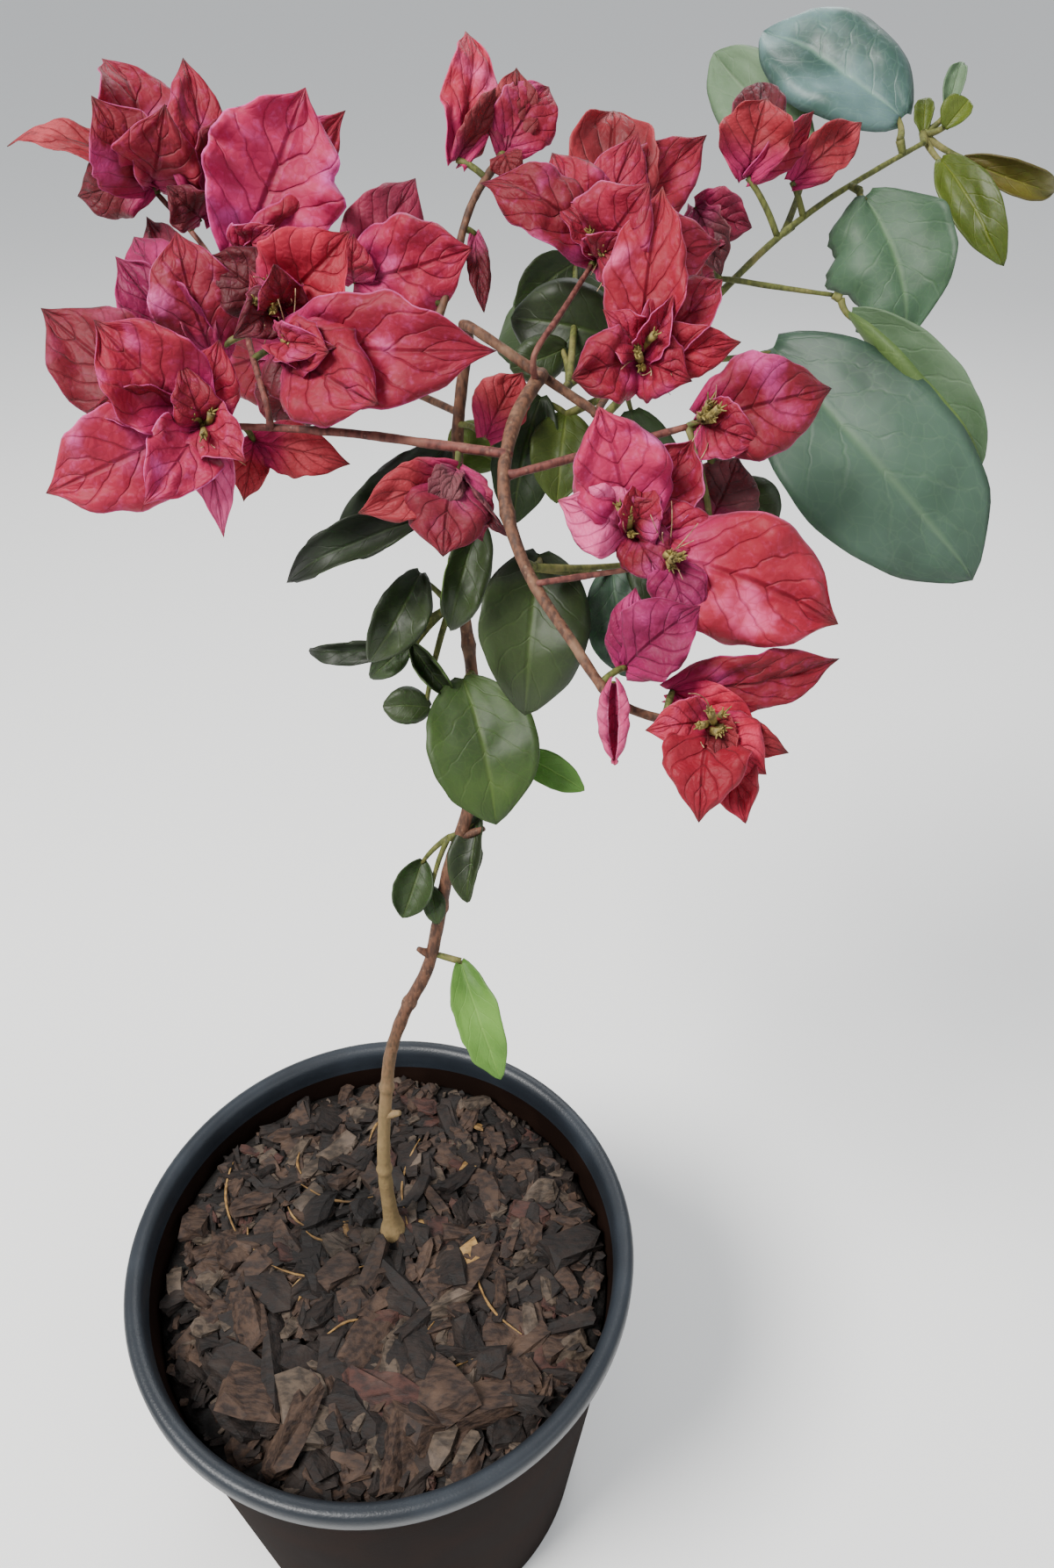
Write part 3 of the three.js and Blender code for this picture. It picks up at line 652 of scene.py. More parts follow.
# %% Grow one blade
def grow_blade(bm, blade, kind, seed, changes):
    dice = random.Random(seed * 31 + 5)
    shape = {
        "waves": dice.uniform(1.3, 2.8), "phase": dice.random(), "wave": dice.uniform(0.10, 0.24),
        "crinkle": dice.uniform(1.3, 2.6), "roll": dice.uniform(0, 0.5), "lobe": 0.07,
        "curl": dice.uniform(-0.16, 0.12), "sway": dice.uniform(-0.04, 0.04),
        "close": dice.uniform(-0.1, 0.5), "partner": dice.uniform(0.2, 1.2),
        "slim": 1, "ragged": 0.12, "torn": 0,
    }
    if kind == "leaf":
        shape.update(wave=dice.uniform(0.03, 0.09), crinkle=dice.uniform(0.5, 1.2), lobe=0.02, ragged=0.04,
                     curl=dice.uniform(-0.08, 0.0), close=dice.uniform(-0.1, 0.25), slim=0.95)
    shape.update(changes)
    made = bmesh.ops.create_grid(bm, x_segments=COLUMNS, y_segments=ROWS, size=1, calc_uvs=True)["verts"]
    shade = bm.verts.layers.float["shade"]
    tone = dice.random()
    for vert in made:
        u, v = vert.co.x, (vert.co.y + 1) / 2
        vert.co = blade_point(blade, kind, u, v, shape, seed)
        vert[shade] = tone
    bmesh.ops.remove_doubles(bm, verts=made, dist=0.02 * MM)
    sheet = list({face for vert in made if vert.is_valid for face in vert.link_faces})
    bm.normal_update()
    if sum(face.normal.dot(blade["face"]) for face in sheet) < 0:
        bmesh.ops.reverse_faces(bm, faces=sheet)
    thicken(bm, sheet, THICKNESS[kind])


print("blades are grids of", ROWS, "by", COLUMNS)

# %% [markdown]
# All blades of one colour are joined in one mesh, because the same material covers them and a
# hundred loose objects would be hard to handle. `piece_from` turns such a mesh into a finished piece:
# it rides on the root body, takes its materials, and hides the plain solids that it stands for.

# %% From mesh to piece
def piece_from(bm, name, materials, replaced=(), smooth=True):
    for face in bm.faces:
        face.smooth = smooth
    data = bpy.data.meshes.new(name)
    bm.to_mesh(data)
    bm.free()
    for material in materials:
        data.materials.append(material)
    piece = bpy.data.objects.new(name, data)
    bpy.context.scene.collection.objects.link(piece)
    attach(piece, "root")
    if replaced:
        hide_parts(*sorted(set(replaced)))
    print(name, len(data.vertices), "vertices,", len(data.polygons), "faces")


def blade_mesh():
    bm = bmesh.new()
    bm.loops.layers.uv.new("blade")
    bm.verts.layers.float.new("shade")
    return bm


print("blade meshes carry a UV map and a shade")

# %% [markdown]
# ## Dealing out the colours
# Every head lists the colours of its bracts in clock order, since a head on the real plant ages from
# magenta through crimson to brick, and the withered ones are nearly brown. A colour dealt by chance
# would scatter these ages, so they are written out spray by spray.

# %% The colours of every head
BRACT_PLAN = {
    "head_left_tip": "wine brick crimson rose wine crimson",
    "head_left_loop": "wine crimson wine",
    "head_pink_large": "pink rose crimson pink",
    "head_red_cup": "wine wine crimson scarlet",
    "head_magenta_left": "magenta magenta dusk rose",
    "head_left_low": "pink rose wine crimson crimson rose lilac",
    "head_centre_left": "rose crimson crimson wine",
    "head_centre_top": "crimson dusk rose",
    "head_top": "coral brick",
    "head_top_small": "brick rose brick",
    "head_right_top": "crimson crimson brick rose crimson rose rose",
    "head_right_tall": "crimson coral rose coral crimson",
    "head_right_mid": "crimson crimson rose",
    "head_curled": "lilac pink rose crimson rose crimson",
    "head_large_right": "coral magenta",
    "head_magenta_right": "magenta magenta",
    "head_flat_right": "crimson scarlet",
    "head_red_low": "scarlet coral brick scarlet scarlet",
    "bract_hanging": "lilac",
    "head_dark_centre": "wine brick withered dusk",
    "bract_behind": "brick",
    "head_shoot_left": "wine brick crimson",
    "bract_shoot_right": "brick",
    "head_withered_right": "dusk withered",
    "bract_under_arm": "brick brick",
    "bract_dry_hanging": "wine",
    "head_back_left": "crimson rose rose wine",
    "head_back_right": "rose pink crimson rose",
    "bract_grey": "withered",
}
print(len(BRACT_PLAN), "heads have their colours")

# %% [markdown]
# Some blades stand out from the rest: a rolled bract that hangs, a curled pair, a torn leaf, folded
# young leaves at the shoot's tip and drooping dark ones. Their draws are changed here, by the name of
# the head and the blade's number in clock order.

# %% Blades with a form of their own
SHAPES = {
    ("head_pink_large", 0): {"ragged": 0.2, "waves": 5, "wave": 0.16, "close": 0.15},
    ("head_curled", 0): {"close": 0.5, "wave": 0.3},
    ("head_curled", 1): {"close": 0.45, "roll": 0.7, "curl": 0.2, "wave": 0.32, "slim": 1.15},
    ("head_curled", 2): {"close": 0.5, "curl": 0.2, "slim": 1.15},
    ("bract_hanging", 0): {"close": 1.25, "partner": 1, "curl": 0.3, "slim": 2.3, "ragged": 0.2},
    ("head_right_tall", 1): {"slim": 0.8, "close": 0.4, "partner": 0.2},
    ("head_right_tall", 2): {"close": 0.7, "slim": 0.85},
    ("head_dark_centre", 2): {"close": 0.9, "ragged": 0.4, "crinkle": 3},
    ("head_withered_right", 1): {"ragged": 0.35, "crinkle": 3.2, "close": 0.6},
    ("head_large_right", 0): {"wave": 0.12, "ragged": 0.08, "close": 0.2},
    ("leaves_shoot_tip", 0): {"close": 0.6, "slim": 1.1},
    ("leaves_shoot_tip", 1): {"close": 0.8, "slim": 1.2},
    ("leaves_shoot_tip", 2): {"close": 0.8, "slim": 1.2},
    ("leaves_shoot_tip", 3): {"close": 0.8, "slim": 0.85, "curl": -0.25},
    ("leaves_shoot_tip", 4): {"slim": 0.7, "close": 0.4},
    ("leaf_torn", 0): {"torn": 0.4, "close": -1.2, "partner": -0.1, "slim": 0.88, "curl": -0.12},
    ("leaf_folded", 0): {"close": 0.9, "partner": 0.3},
    ("leaf_low_pale", 0): {"slim": 0.8, "ragged": 0.12, "close": 0.3},
    ("leaves_stem_top", 1): {"slim": 1.5, "close": 0.5},
    ("leaves_stem_top", 0): {"close": 0.6},
    ("leaf_blue_top", 0): {"close": -0.5, "slim": 0.95},
    ("leaf_broad_right", 0): {"close": -0.25, "wave": 0.05, "curl": -0.1},
    ("leaves_dark_low", 4): {"close": 0.9, "curl": -0.3},
    ("leaves_dark_low", 0): {"close": 0.7, "curl": -0.3, "wave": 0.2},
    ("leaves_dark_low", 1): {"close": 0.5, "curl": -0.25, "wave": 0.2, "slim": 0.85},
    ("leaves_dark_low", 2): {"close": 0.8, "curl": -0.3, "wave": 0.15},
    ("leaves_dark_left", 0): {"close": 0.9, "curl": -0.35, "wave": 0.2, "partner": 0.6},
    ("leaves_dark_left", 1): {"close": 0.6, "curl": -0.3, "wave": 0.22, "slim": 0.85},
    ("leaves_dark_left", 2): {"close": 0.7, "curl": -0.3, "wave": 0.2, "slim": 0.9},
    ("leaves_centre_low", 0): {"close": 0.4, "curl": -0.2, "wave": 0.14},
}
print(len(SHAPES), "blades have changes of their own")

# %% [markdown]
# The plan is turned over: from colours by head to blades by colour. A running number seeds each
# blade, so that the draw is the same on every run.

# %% Deal the blades
def deal_blades(plan):
    dealt = {}
    seed = 1
    for name in sorted(plan):
        tints = plan[name].split()
        for index, blade in enumerate(blades[name]):
            tint = tints[min(index, len(tints) - 1)]
            changes = SHAPES.get((name, index), {})
            dealt.setdefault(tint, []).append((name, blade, seed, changes))
            seed += 1
    return dealt


bracts_dealt = deal_blades(BRACT_PLAN)
print({tint: len(found) for tint, found in bracts_dealt.items()})

# %% [markdown]
# A full head also has smaller young bracts round its flowers. At most two are stood between
# neighbours that open wide enough, nearer to the flowers than the large ones, in the colour that
# stands in the middle of the head's list.

# %% Inner bracts
def between(first, second, dice):
    """A smaller bract that stands between two neighbours of one head, nearer its flowers."""
    toward = (first["along"] + second["along"]).normalized()
    lifted = (toward + (first["face"] + second["face"]) * dice.uniform(0.05, 0.25)).normalized()
    face = (first["face"] + second["face"]) / 2
    size = dice.uniform(0.5, 0.62)
    inner = dict(first)
    inner["along"] = lifted
    inner["face"] = (face - lifted * face.dot(lifted)).normalized()
    inner["length"] = size * (first["length"] + second["length"]) / 2
    inner["width"] = size * (first["width"] + second["width"]) / 2
    inner["fold"] = dice.uniform(0.2, 0.6)
    return inner


FULL_HEAD, MOST_INNER = 4, 2


def inner_bracts(name, dice):
    found = blades[name]
    pairs = [pair for pair in zip(found, found[1:]) if -0.5 < pair[0]["along"].dot(pair[1]["along"]) < 0.9]
    if len(found) < FULL_HEAD or not pairs:
        return []
    return [between(*pair, dice) for pair in dice.sample(pairs, min(MOST_INNER, len(pairs)))]


def inner_tint(name):
    tints = BRACT_PLAN[name].split()
    return tints[len(tints) // 2]


print(sum(len(blades[name]) >= FULL_HEAD for name in BRACT_PLAN), "heads are full ones")

# %% [markdown]
# Now the bracts grow, one piece for each colour. Both sides of a bract look alike, so its two
# material places hold the same look.

# %% Grow the bracts
INNER_SEED = 900
for tint, found in sorted(bracts_dealt.items()):
    bm = blade_mesh()
    for name, blade, seed, changes in found:
        grow_blade(bm, blade, "bract", seed, changes)
    heads = sorted({name for name, *_ in found if inner_tint(name) == tint})
    for name in heads:
        dice = random.Random(len(name) + ord(name[-1]))
        for index, blade in enumerate(inner_bracts(name, dice)):
            grow_blade(bm, blade, "bract", INNER_SEED + 17 * index + len(name), {"ragged": 0.2})
    both_sides = [bract_looks[tint], bract_looks[tint]]
    piece_from(bm, "bracts_" + tint, both_sides, [name for name, *_ in found])

# %% [markdown]
# Leaves are dealt out in the same way. The broad ones on the right have the bluish bloom with its
# painted sheen, and the top one has a painted blue sheen. Those in the shade of the crown are painted
# nearly black green for that shade, and the shoot's own tip is yellow green.

# %% Leaves, colour by colour
LEAF_PLAN = {
    "leaf_blue_top": "sky",
    "leaf_broad_right": "blue",
    "leaf_folded": "pale",
    "leaf_front_green": "lime grass",
    "leaf_low_pale": "lime",
    "leaf_pale_back": "pale",
    "leaf_torn": "teal",
    "leaves_back": "green dark green",
    "leaves_behind_centre": "dark dark dark",
    "leaves_centre_low": "dark green blue",
    "leaves_centre_olive": "olive green olive",
    "leaves_dark_left": "dark night night",
    "leaves_dark_low": "dark green night dark dark",
    "leaves_right_small": "green dark",
    "leaves_shoot_tip": "young pale young rust young",
    "leaves_stem_top": "dark green green",
}
LEAF_SEED = 500
for tint, found in sorted(deal_blades(LEAF_PLAN).items()):
    bm = blade_mesh()
    for name, blade, seed, changes in found:
        grow_blade(bm, blade, "leaf", seed + LEAF_SEED, changes)
    both_sides = [leaf_looks[tint], leaf_back]
    piece_from(bm, "leaves_" + tint, both_sides, [name for name, *_ in found])

# %% [markdown]
# ## Bark
# The frame's line has a ring every 16 mm or so, which would leave corners in a bough. A smooth curve
# is laid through those points first: it passes through each one, and its bend there is set by the
# point before and the point after.

# %% Smooth a limb's line
def curve_through(line, step):
    points = [centre for centre, _ in line]
    radii = [radius for _, radius in line]
    padded = [2 * points[0] - points[1], *points, 2 * points[-1] - points[-2]]
    out = []
    for i in range(len(points) - 1):
        p0, p1, p2, p3 = padded[i:i + 4]
        count = max(1, round((p2 - p1).length / step))
        for k in range(count):
            t = k / count
            spot = 0.5 * (2 * p1 + (p2 - p0) * t + (2 * p0 - 5 * p1 + 4 * p2 - p3) * t ** 2
                          + (3 * p1 - p0 - 3 * p2 + p3) * t ** 3)
            out.append((spot, radii[i] + (radii[i + 1] - radii[i]) * t))
    out.append((points[-1], radii[-1]))
    return out


CURVE_STEP = 1.6 * MM
print("the stem's curve has", len(curve_through(limbs["stem"], CURVE_STEP)), "points")

# %% [markdown]
# A limb is a circle extruded along its line, ring after ring. A curve object with a bevel could do
# the same, but it would have to be turned into a mesh before its bark could be ridged. Each ring turns
# only as much as the line bends, so the skin never twists, and both ends are closed.

# %% Skin a line
def skin(bm, line, sides, material=0):
    directions = []
    for i in range(len(line)):
        ahead = line[min(i + 1, len(line) - 1)][0] - line[max(i - 1, 0)][0]
        directions.append(ahead.normalized())
    turn = directions[0].to_track_quat("Z", "X")
    first = bmesh.ops.create_circle(bm, segments=sides, radius=1, cap_ends=False)["verts"]
    place = Matrix.Translation(line[0][0]) @ turn.to_matrix().to_4x4() @ Matrix.Scale(line[0][1], 4)
    bmesh.ops.transform(bm, matrix=place, verts=first)
    edges = list({edge for vert in first for edge in vert.link_edges})
    made = list(first)
    faces = [bmesh.ops.contextual_create(bm, geom=edges)["faces"][0]]
    for i in range(1, len(line)):
        turn = directions[i - 1].rotation_difference(directions[i]) @ turn
        new_place = Matrix.Translation(line[i][0]) @ turn.to_matrix().to_4x4() @ Matrix.Scale(line[i][1], 4)
        grown = bmesh.ops.extrude_edge_only(bm, edges=edges)["geom"]
        ring = [g for g in grown if isinstance(g, bmesh.types.BMVert)]
        edges = [g for g in grown if isinstance(g, bmesh.types.BMEdge) and all(v in ring for v in g.verts)]
        faces += [g for g in grown if isinstance(g, bmesh.types.BMFace)]
        bmesh.ops.transform(bm, matrix=new_place @ place.inverted(), verts=ring)
        place = new_place
        made += ring
    faces += bmesh.ops.contextual_create(bm, geom=edges)["faces"]
    bmesh.ops.recalc_face_normals(bm, faces=faces)
    for face in faces:
        face.material_index = material
    return made


print("a limb is a circle, extruded ring by ring")

# %% [markdown]
# Stalks and flower tubes are short, so two ends and one bend give their line. Old bark is ridged
# along the limb, which a little noise does that is stretched along the height.

# %% Short lines and ridges
def bent_line(a, b, bend, radius_a, radius_b, count=7):
    line = []
    for i in range(count + 1):
        t = i / count
        line.append((a.lerp(b, t) + bend * 4 * t * (1 - t), radius_a + (radius_b - radius_a) * t))
    return line


def bark_ridges(bm, verts, height, grain):
    bm.normal_update()
    for vert in verts:
        along = Vector((vert.co.x * grain, vert.co.y * grain, vert.co.z * grain * 0.3))
        vert.co += vert.normal * height * (noise.noise(along) + 0.5 * noise.noise(along * 2.3))


RIDGE = 0.08 * MM
RIDGE_GRAIN = 900
print("bark ridges are", round(RIDGE / MM, 2), "mm high")

# %% [markdown]
# Old bark is tan and corky at the stem's foot and brown higher up, the thin arms are reddish, and
# the shoot is still green. One material with other colours serves all three: streaks along the limb,
# pale patches, and pores.

# %% Bark materials
CORK_STARTS, CORK_ENDS = 0.19, 0.27  # heights in metres between which the tan foot fades out


def bark_material(name, body, deep, pale, low):
    material, shader, flow = new_material(name, Specular_IOR_Level=0.3)
    place = object_place(flow)
    stretched = flow.make("ShaderNodeMapping", None, {"Vector": place, "Scale": (1, 1, 0.35)})
    streak = speckle(flow, stretched, 900, 4)
    patch = speckle(flow, place, 120, 3)
    pores = flow.make("ShaderNodeTexVoronoi", None, {"Vector": place, "Scale": 520})
    height = flow.make("ShaderNodeSeparateXYZ", None, {"Vector": place}, "Z")
    ground = blend_colours(fade(streak, 0.35, 0.65), deep, body)
    ground = blend_colours(fade(patch, 0.5, 0.7) * 0.6, ground, pale)
    ground = blend_colours(fade(height, CORK_ENDS, CORK_STARTS) * 0.75, ground, low)
    ground = blend_colours(fade(pores, 0.22, 0.12) * 0.5, ground, pale)
    feed(shader, "Base Color", ground)
    feed(shader, "Roughness", 0.55 + streak * 0.3)
    feed(shader, "Normal", relief(streak + pores * 0.4, 0.5, 0.0005))
    return material


bark = bark_material("bark_brown", hue("60402f"), hue("3c271d"), hue("765b46"), hue("86734e"))
green_bark = bark_material("bark_green", hue("565a2a"), hue("3d411d"), hue("746c40"), hue("565a2a"))
red_bark = bark_material("bark_red", hue("643630"), hue("42201c"), hue("7e5446"), hue("643630"))
print("three barks: brown, green and red")

# %% [markdown]
# The solids are stout, so the real limbs are drawn slimmer. Leaf scars make the radius swell every
# few steps, and the stem has a collar where it leaves the mix. Short stubs show where side shoots
# were cut: each has a share of the stem's length, a direction and a length in millimetres.

# %% Skin the brown and red limbs
GREEN = ("shoot_green", "twig_long_leaf")
SLIM, SLIM_STEM = 0.7, 0.85
LIMB_SIDES, SHOOT_SIDES, STALK_SIDES = 14, 12, 8
STUBS = (
    (0.22, (0.9, -0.3, 0.5), 4),
    (0.46, (-0.8, -0.2, 0.7), 3),
    (0.60, (0.9, -0.2, 0.5), 6),
    (0.70, (-0.5, -0.4, 0.7), 7),
    (0.72, (0.6, -0.6, 0.4), 3),
)
COLLAR_HEIGHT = 5 * MM
mix_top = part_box("potting_mix")[1].z
bm = bmesh.new()
for name in LIMBS:
    if name in GREEN:
        continue
    spacing = random.Random(len(name)).uniform(12, 18)
    line = []
    for i, (spot, radius) in enumerate(curve_through(limbs[name], CURVE_STEP)):
        scar = max(0, math.cos(math.pi * i / spacing)) ** 40
        wobble = 0.12 * noise.noise(Vector((i * 0.25, len(name), 0)))
        above_mix = (spot.z - mix_top) / COLLAR_HEIGHT
        collar = 0.55 * math.exp(-above_mix ** 2) if name == "stem" else 0
        slim = SLIM_STEM if name == "stem" else SLIM
        line.append((spot, radius * slim * (1 + 0.28 * scar + wobble + collar)))
    made = skin(bm, line, LIMB_SIDES, 1 if name.startswith(("twig", "arm")) else 0)
    bark_ridges(bm, made, RIDGE, RIDGE_GRAIN)
stem_line = curve_through(limbs["stem"], CURVE_STEP)
STUB_SAG = Vector((0, 0, -0.3 * MM))
for share, aim, size in STUBS:
    spot, radius = stem_line[int(share * (len(stem_line) - 1))]
    end = spot + Vector(aim).normalized() * (radius + size * MM)
    skin(bm, bent_line(spot, end, STUB_SAG, 0.8 * radius, 0.35 * radius, 5), STALK_SIDES, 0)
piece_from(bm, "bark_limbs", [bark, red_bark], [name for name in LIMBS if name not in GREEN])

# %% [markdown]
# The green shoot and the twig of the long leaf are this year's growth. They are smooth but for the
# fine ridges, and are a piece of their own in the green bark.

# %% Skin the green limbs
bm = bmesh.new()
for name in GREEN:
    line = [(spot, radius * SLIM) for spot, radius in curve_through(limbs[name], CURVE_STEP)]
    made = skin(bm, line, SHOOT_SIDES)
    bark_ridges(bm, made, RIDGE, RIDGE_GRAIN)
piece_from(bm, "green_limbs", [green_bark], GREEN)

# %% [markdown]
# ## Stalks
# A leaf's stalk runs to its bud, which the frame holds as a small eight-sided knot. Most of the knot
# is hidden in its blades, but one untouched face gives its middle: every corner of such a knot is one
# radius away from it, so the middle lies under that face at the radius over the root of three.

# %% Find the buds
BUD_RADIUS = 3 * MM


def bud_of(node):
    bm = merged_copy(node)
    side = BUD_RADIUS * math.sqrt(2)
    spot = None
    for face in bm.faces:
        if len(face.verts) == 3 and all(abs(e.calc_length() - side) < 0.02 * MM for e in face.edges):
            spot = face.calc_center_median() - face.normal * BUD_RADIUS / math.sqrt(3)
            break
    bm.free()
    return spot


print("buds are knots of radius", round(BUD_RADIUS / MM), "mm")

# %% [markdown]
# A head hangs on a short stalk that leaves the nearest limb, and a leaf has one stalk to its bud and
# a shorter one to each blade. They are thin skins, most with a slight bend, since a straight stalk
# looks like wire. The middle of each head is kept, because its flowers stand there.

# %% Grow the stalks
STALK_REACH = 40 * MM
bm = bmesh.new()
all_lines = list(limbs.values())
knots = {}
for name, found in blades.items():
    if not found:
        continue
    if name.startswith("lea"):
        bud = bud_of(name) or found[0]["root"]
        joint = nearest_on(all_lines, bud, STALK_REACH)
        if joint:
            skin(bm, bent_line(joint[0], bud, Vector(), 0.9 * MM, 1.1 * MM, 4), STALK_SIDES)
        for blade in found:
            bend = (blade["root"] - bud).cross(blade["face"]).normalized() * 0.6 * MM
            end = blade["root"] + blade["along"] * MM
            skin(bm, bent_line(bud, end, bend, 0.95 * MM, 0.6 * MM), STALK_SIDES)
    else:
        knot = middle([blade["root"] for blade in found])
        knots[name] = knot
        joint = nearest_on(all_lines, knot, STALK_REACH)
        if joint and (joint[0] - knot).length > 0.5 * MM:
            sag = Vector((0, 0, 0.08 * (joint[0] - knot).length))
            skin(bm, bent_line(joint[0], knot, sag, 0.8 * MM, 0.7 * MM), STALK_SIDES)
bark_ridges(bm, list(bm.verts), 0.06 * MM, 1200)
piece_from(bm, "stalks", [green_bark])
print(len(knots), "heads have a stalk")

# %% [markdown]
# ## The flowers
# The true flower is a thin tube that stands before each bract and ends in a small star. Here most
# have dried to straw, with a few threads. One mottled material in two colours covers both.

# %% Straw materials
def straw_material(name, body, deep):
    material, shader, flow = new_material(name)
    mottle = speckle(flow, object_place(flow), 500, 3)
    feed(shader, "Base Color", blend_colours(fade(mottle, 0.35, 0.65), deep, body))
    feed(shader, "Roughness", 0.6 + mottle * 0.3)
    feed(shader, "Normal", relief(mottle, 0.4, 0.0004))
    return material


straw = straw_material("flower_straw", hue("8a7a3c"), hue("584c24"))
thread = straw_material("flower_thread", hue("a88e68"), hue("6e4c38"))
print("straw and thread are ready")

# %% [markdown]
# Each tube is skinned like a limb, and its star is a ring of five small lobes. They lean towards the
# open side of the head, where the bracts leave room, and the threads spread a little wider.

# %% Dried flower tubes
TUBES, LOBES, THREADS = 5, 5, 7
FLOWERING = ("head_right_top", "head_right_tall", "head_right_mid", "head_curled", "head_red_cup",
             "head_red_low", "head_left_low", "head_centre_left", "head_large_right")
bm = bmesh.new()
for name in FLOWERING:
    dice = random.Random(len(name) * 3 + 1)
    knot = knots[name]
    outward = (EYE - knot).normalized()
    for k in range(TUBES):
        blade = blades[name][k % len(blades[name])]
        aim = (outward + blade["along"] * dice.uniform(0.1, 0.7) + Vector(
            (dice.uniform(-0.4, 0.4), dice.uniform(-0.4, 0.4), dice.uniform(-0.2, 0.5)))).normalized()
        end = knot + aim * dice.uniform(5, 10.5) * MM
        bend = Vector((dice.uniform(-1, 1), dice.uniform(-1, 1), dice.uniform(-1, 1))) * 0.8 * MM
        tube = bent_line(knot, end, bend, 0.7 * MM, 0.9 * MM)
        skin(bm, tube, 7, 0)
        for j in range(LOBES):
            turn = Matrix.Rotation(2 * math.pi * j / LOBES, 3, aim)
            out = turn @ aim.orthogonal().normalized()
            tip = end + (aim * 1.1 + out * 0.6) * dice.uniform(0.8, 2.4) * MM
            skin(bm, bent_line(end, tip, out * 0.2 * MM, 0.3 * MM, 0.1 * MM, 3), 5, 0)
    for _ in range(THREADS):
        aim = (outward + Vector([dice.uniform(-0.9, 0.9) for _ in range(3)])).normalized()
        end = knot + aim * dice.uniform(7, 13) * MM
        bend = Vector([dice.uniform(-1.5, 1.5) * MM for _ in range(3)])
        skin(bm, bent_line(knot, end, bend, 0.16 * MM, 0.1 * MM), 4, 1)
piece_from(bm, "dried_flowers", [straw, thread])

# %% [markdown]
# ## The pot
# A nursery pot is moulded in one piece. Its wall is a profile spun round the axis: a flat underside,
# a plain taper, and a rolled rim with a thick band inside it. A spin is the right operator for
# anything turned or moulded round, because one outline drawn once gives the whole wall.

# %% Spin the pot
pot_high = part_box("pot")[1]
RIM = pot_high.x
TOP = pot_high.z


def spun(profile, steps):
    bm = bmesh.new()
    verts = [bm.verts.new((r, 0, z)) for r, z in profile]
    edges = [bm.edges.new(pair) for pair in zip(verts, verts[1:])]
    bmesh.ops.spin(bm, geom=verts + edges, cent=(0, 0, 0), axis=(0, 0, 1), angle=2 * math.pi,
                   steps=steps, use_merge=True)
    bmesh.ops.remove_doubles(bm, verts=bm.verts, dist=0.005 * MM)
    bmesh.ops.recalc_face_normals(bm, faces=bm.faces)
    return bm


wall_top, foot, wall = RIM - 4 * MM, 72 * MM, 2 * MM
rim_low = TOP - 8 * MM
underside = [(0, 0), (foot - 3 * MM, 0), (foot - 1 * MM, 0.6 * MM), (foot, 2 * MM)]
outside = [(wall_top - 0.4 * MM, rim_low - 2 * MM), (wall_top, rim_low)]
roll = [
    (RIM - 1 * MM, rim_low + 0.3 * MM), (RIM, rim_low + 1.6 * MM), (RIM, TOP - 2.4 * MM),
    (RIM - 0.7 * MM, TOP - 0.8 * MM), (RIM - 2.2 * MM, TOP), (RIM - 4.2 * MM, TOP - 0.3 * MM),
    (RIM - 5.6 * MM, TOP - 1.4 * MM), (RIM - 6.4 * MM, TOP - 3 * MM), (RIM - 6.8 * MM, TOP - 7 * MM),
    (RIM - 7 * MM, TOP - 10 * MM),
]
inside = [(wall_top - wall - 1.2 * MM, TOP - 11 * MM), (foot - wall, 4 * MM)]
floor_above = [(foot - wall - 2 * MM, wall), (0, wall)]
POT_STEPS = 128
bm = spun(underside + outside + roll + inside + floor_above, POT_STEPS)
print("the pot is", round(2 * RIM / MM), "mm across and", round(TOP / MM), "mm tall")

# %% [markdown]
# The wall is matte black with dried dust on it. The rim is smoother, and its colours are blue black
# with paler blue patches where the wall has its dust: a painted highlight. They share one material
# function, and the faces above the roll's foot get the rim's.

# %% The pot's plastic
def plastic_material(name, body, dust_and_highlight_colour, gloss, shine):
    material, shader, flow = new_material(name, Specular_IOR_Level=shine)
    place = object_place(flow)
    dust_and_highlight = speckle(flow, place, 35, 5)
    speck = speckle(flow, place, 1400, 2)
    # dust on the wall; on the rim the paler blue patches are a painted highlight
    feed(shader, "Base Color", blend_colours(fade(dust_and_highlight, 0.4, 0.75) * 0.6, body, dust_and_highlight_colour))
    feed(shader, "Roughness", gloss + dust_and_highlight * 0.15)
    feed(shader, "Normal", relief(speck + dust_and_highlight * 0.6, 0.25, 0.0004))
    return material


wall_plastic = plastic_material("pot_wall", hue("150d0a"), hue("241813"), 0.7, 0.02)
# the rim's blue black and paler blue are a painted highlight on black plastic
rim_plastic_and_highlight = plastic_material("pot_rim_and_highlight", hue("1a1f25"), hue("2b323a"), 0.36, 0.4)
RIM_STARTS = TOP - 8.5 * MM
for face in bm.faces:
    face.material_index = 1 if face.calc_center_median().z > RIM_STARTS else 0
piece_from(bm, "nursery_pot", [wall_plastic, rim_plastic_and_highlight], ["pot"])

# %% [markdown]
# ## The mix
# The mix is bark mulch over dark fines. How high it lies is asked of the frame's own solid: a ray
# dropped on it gives the level at any spot. The real mix is heaped a little towards the back, so a
# few millimetres are added there.

# %% The level of the mix
BACK_HEAP = 5 * MM
HEAP_REACH = 60 * MM
mix_bvh = BVHTree.FromBMesh(merged_copy("potting_mix"))
mix_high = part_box("potting_mix")[1]


def mix_height(x, y):
    hit = mix_bvh.ray_cast(Vector((x, y, 1)), Vector((0, 0, -1)))[0]
    level = hit.z if hit and hit.z > mix_high.z - 15 * MM else mix_high.z - 6 * MM
    share = max(0, min(1, (y - 0.4 * x) / HEAP_REACH))
    return level + BACK_HEAP * share


for place, depth in (("middle", 0), ("back", HEAP_REACH)):
    print("level at the", place, round(mix_height(0, depth) / MM, 1), "mm")

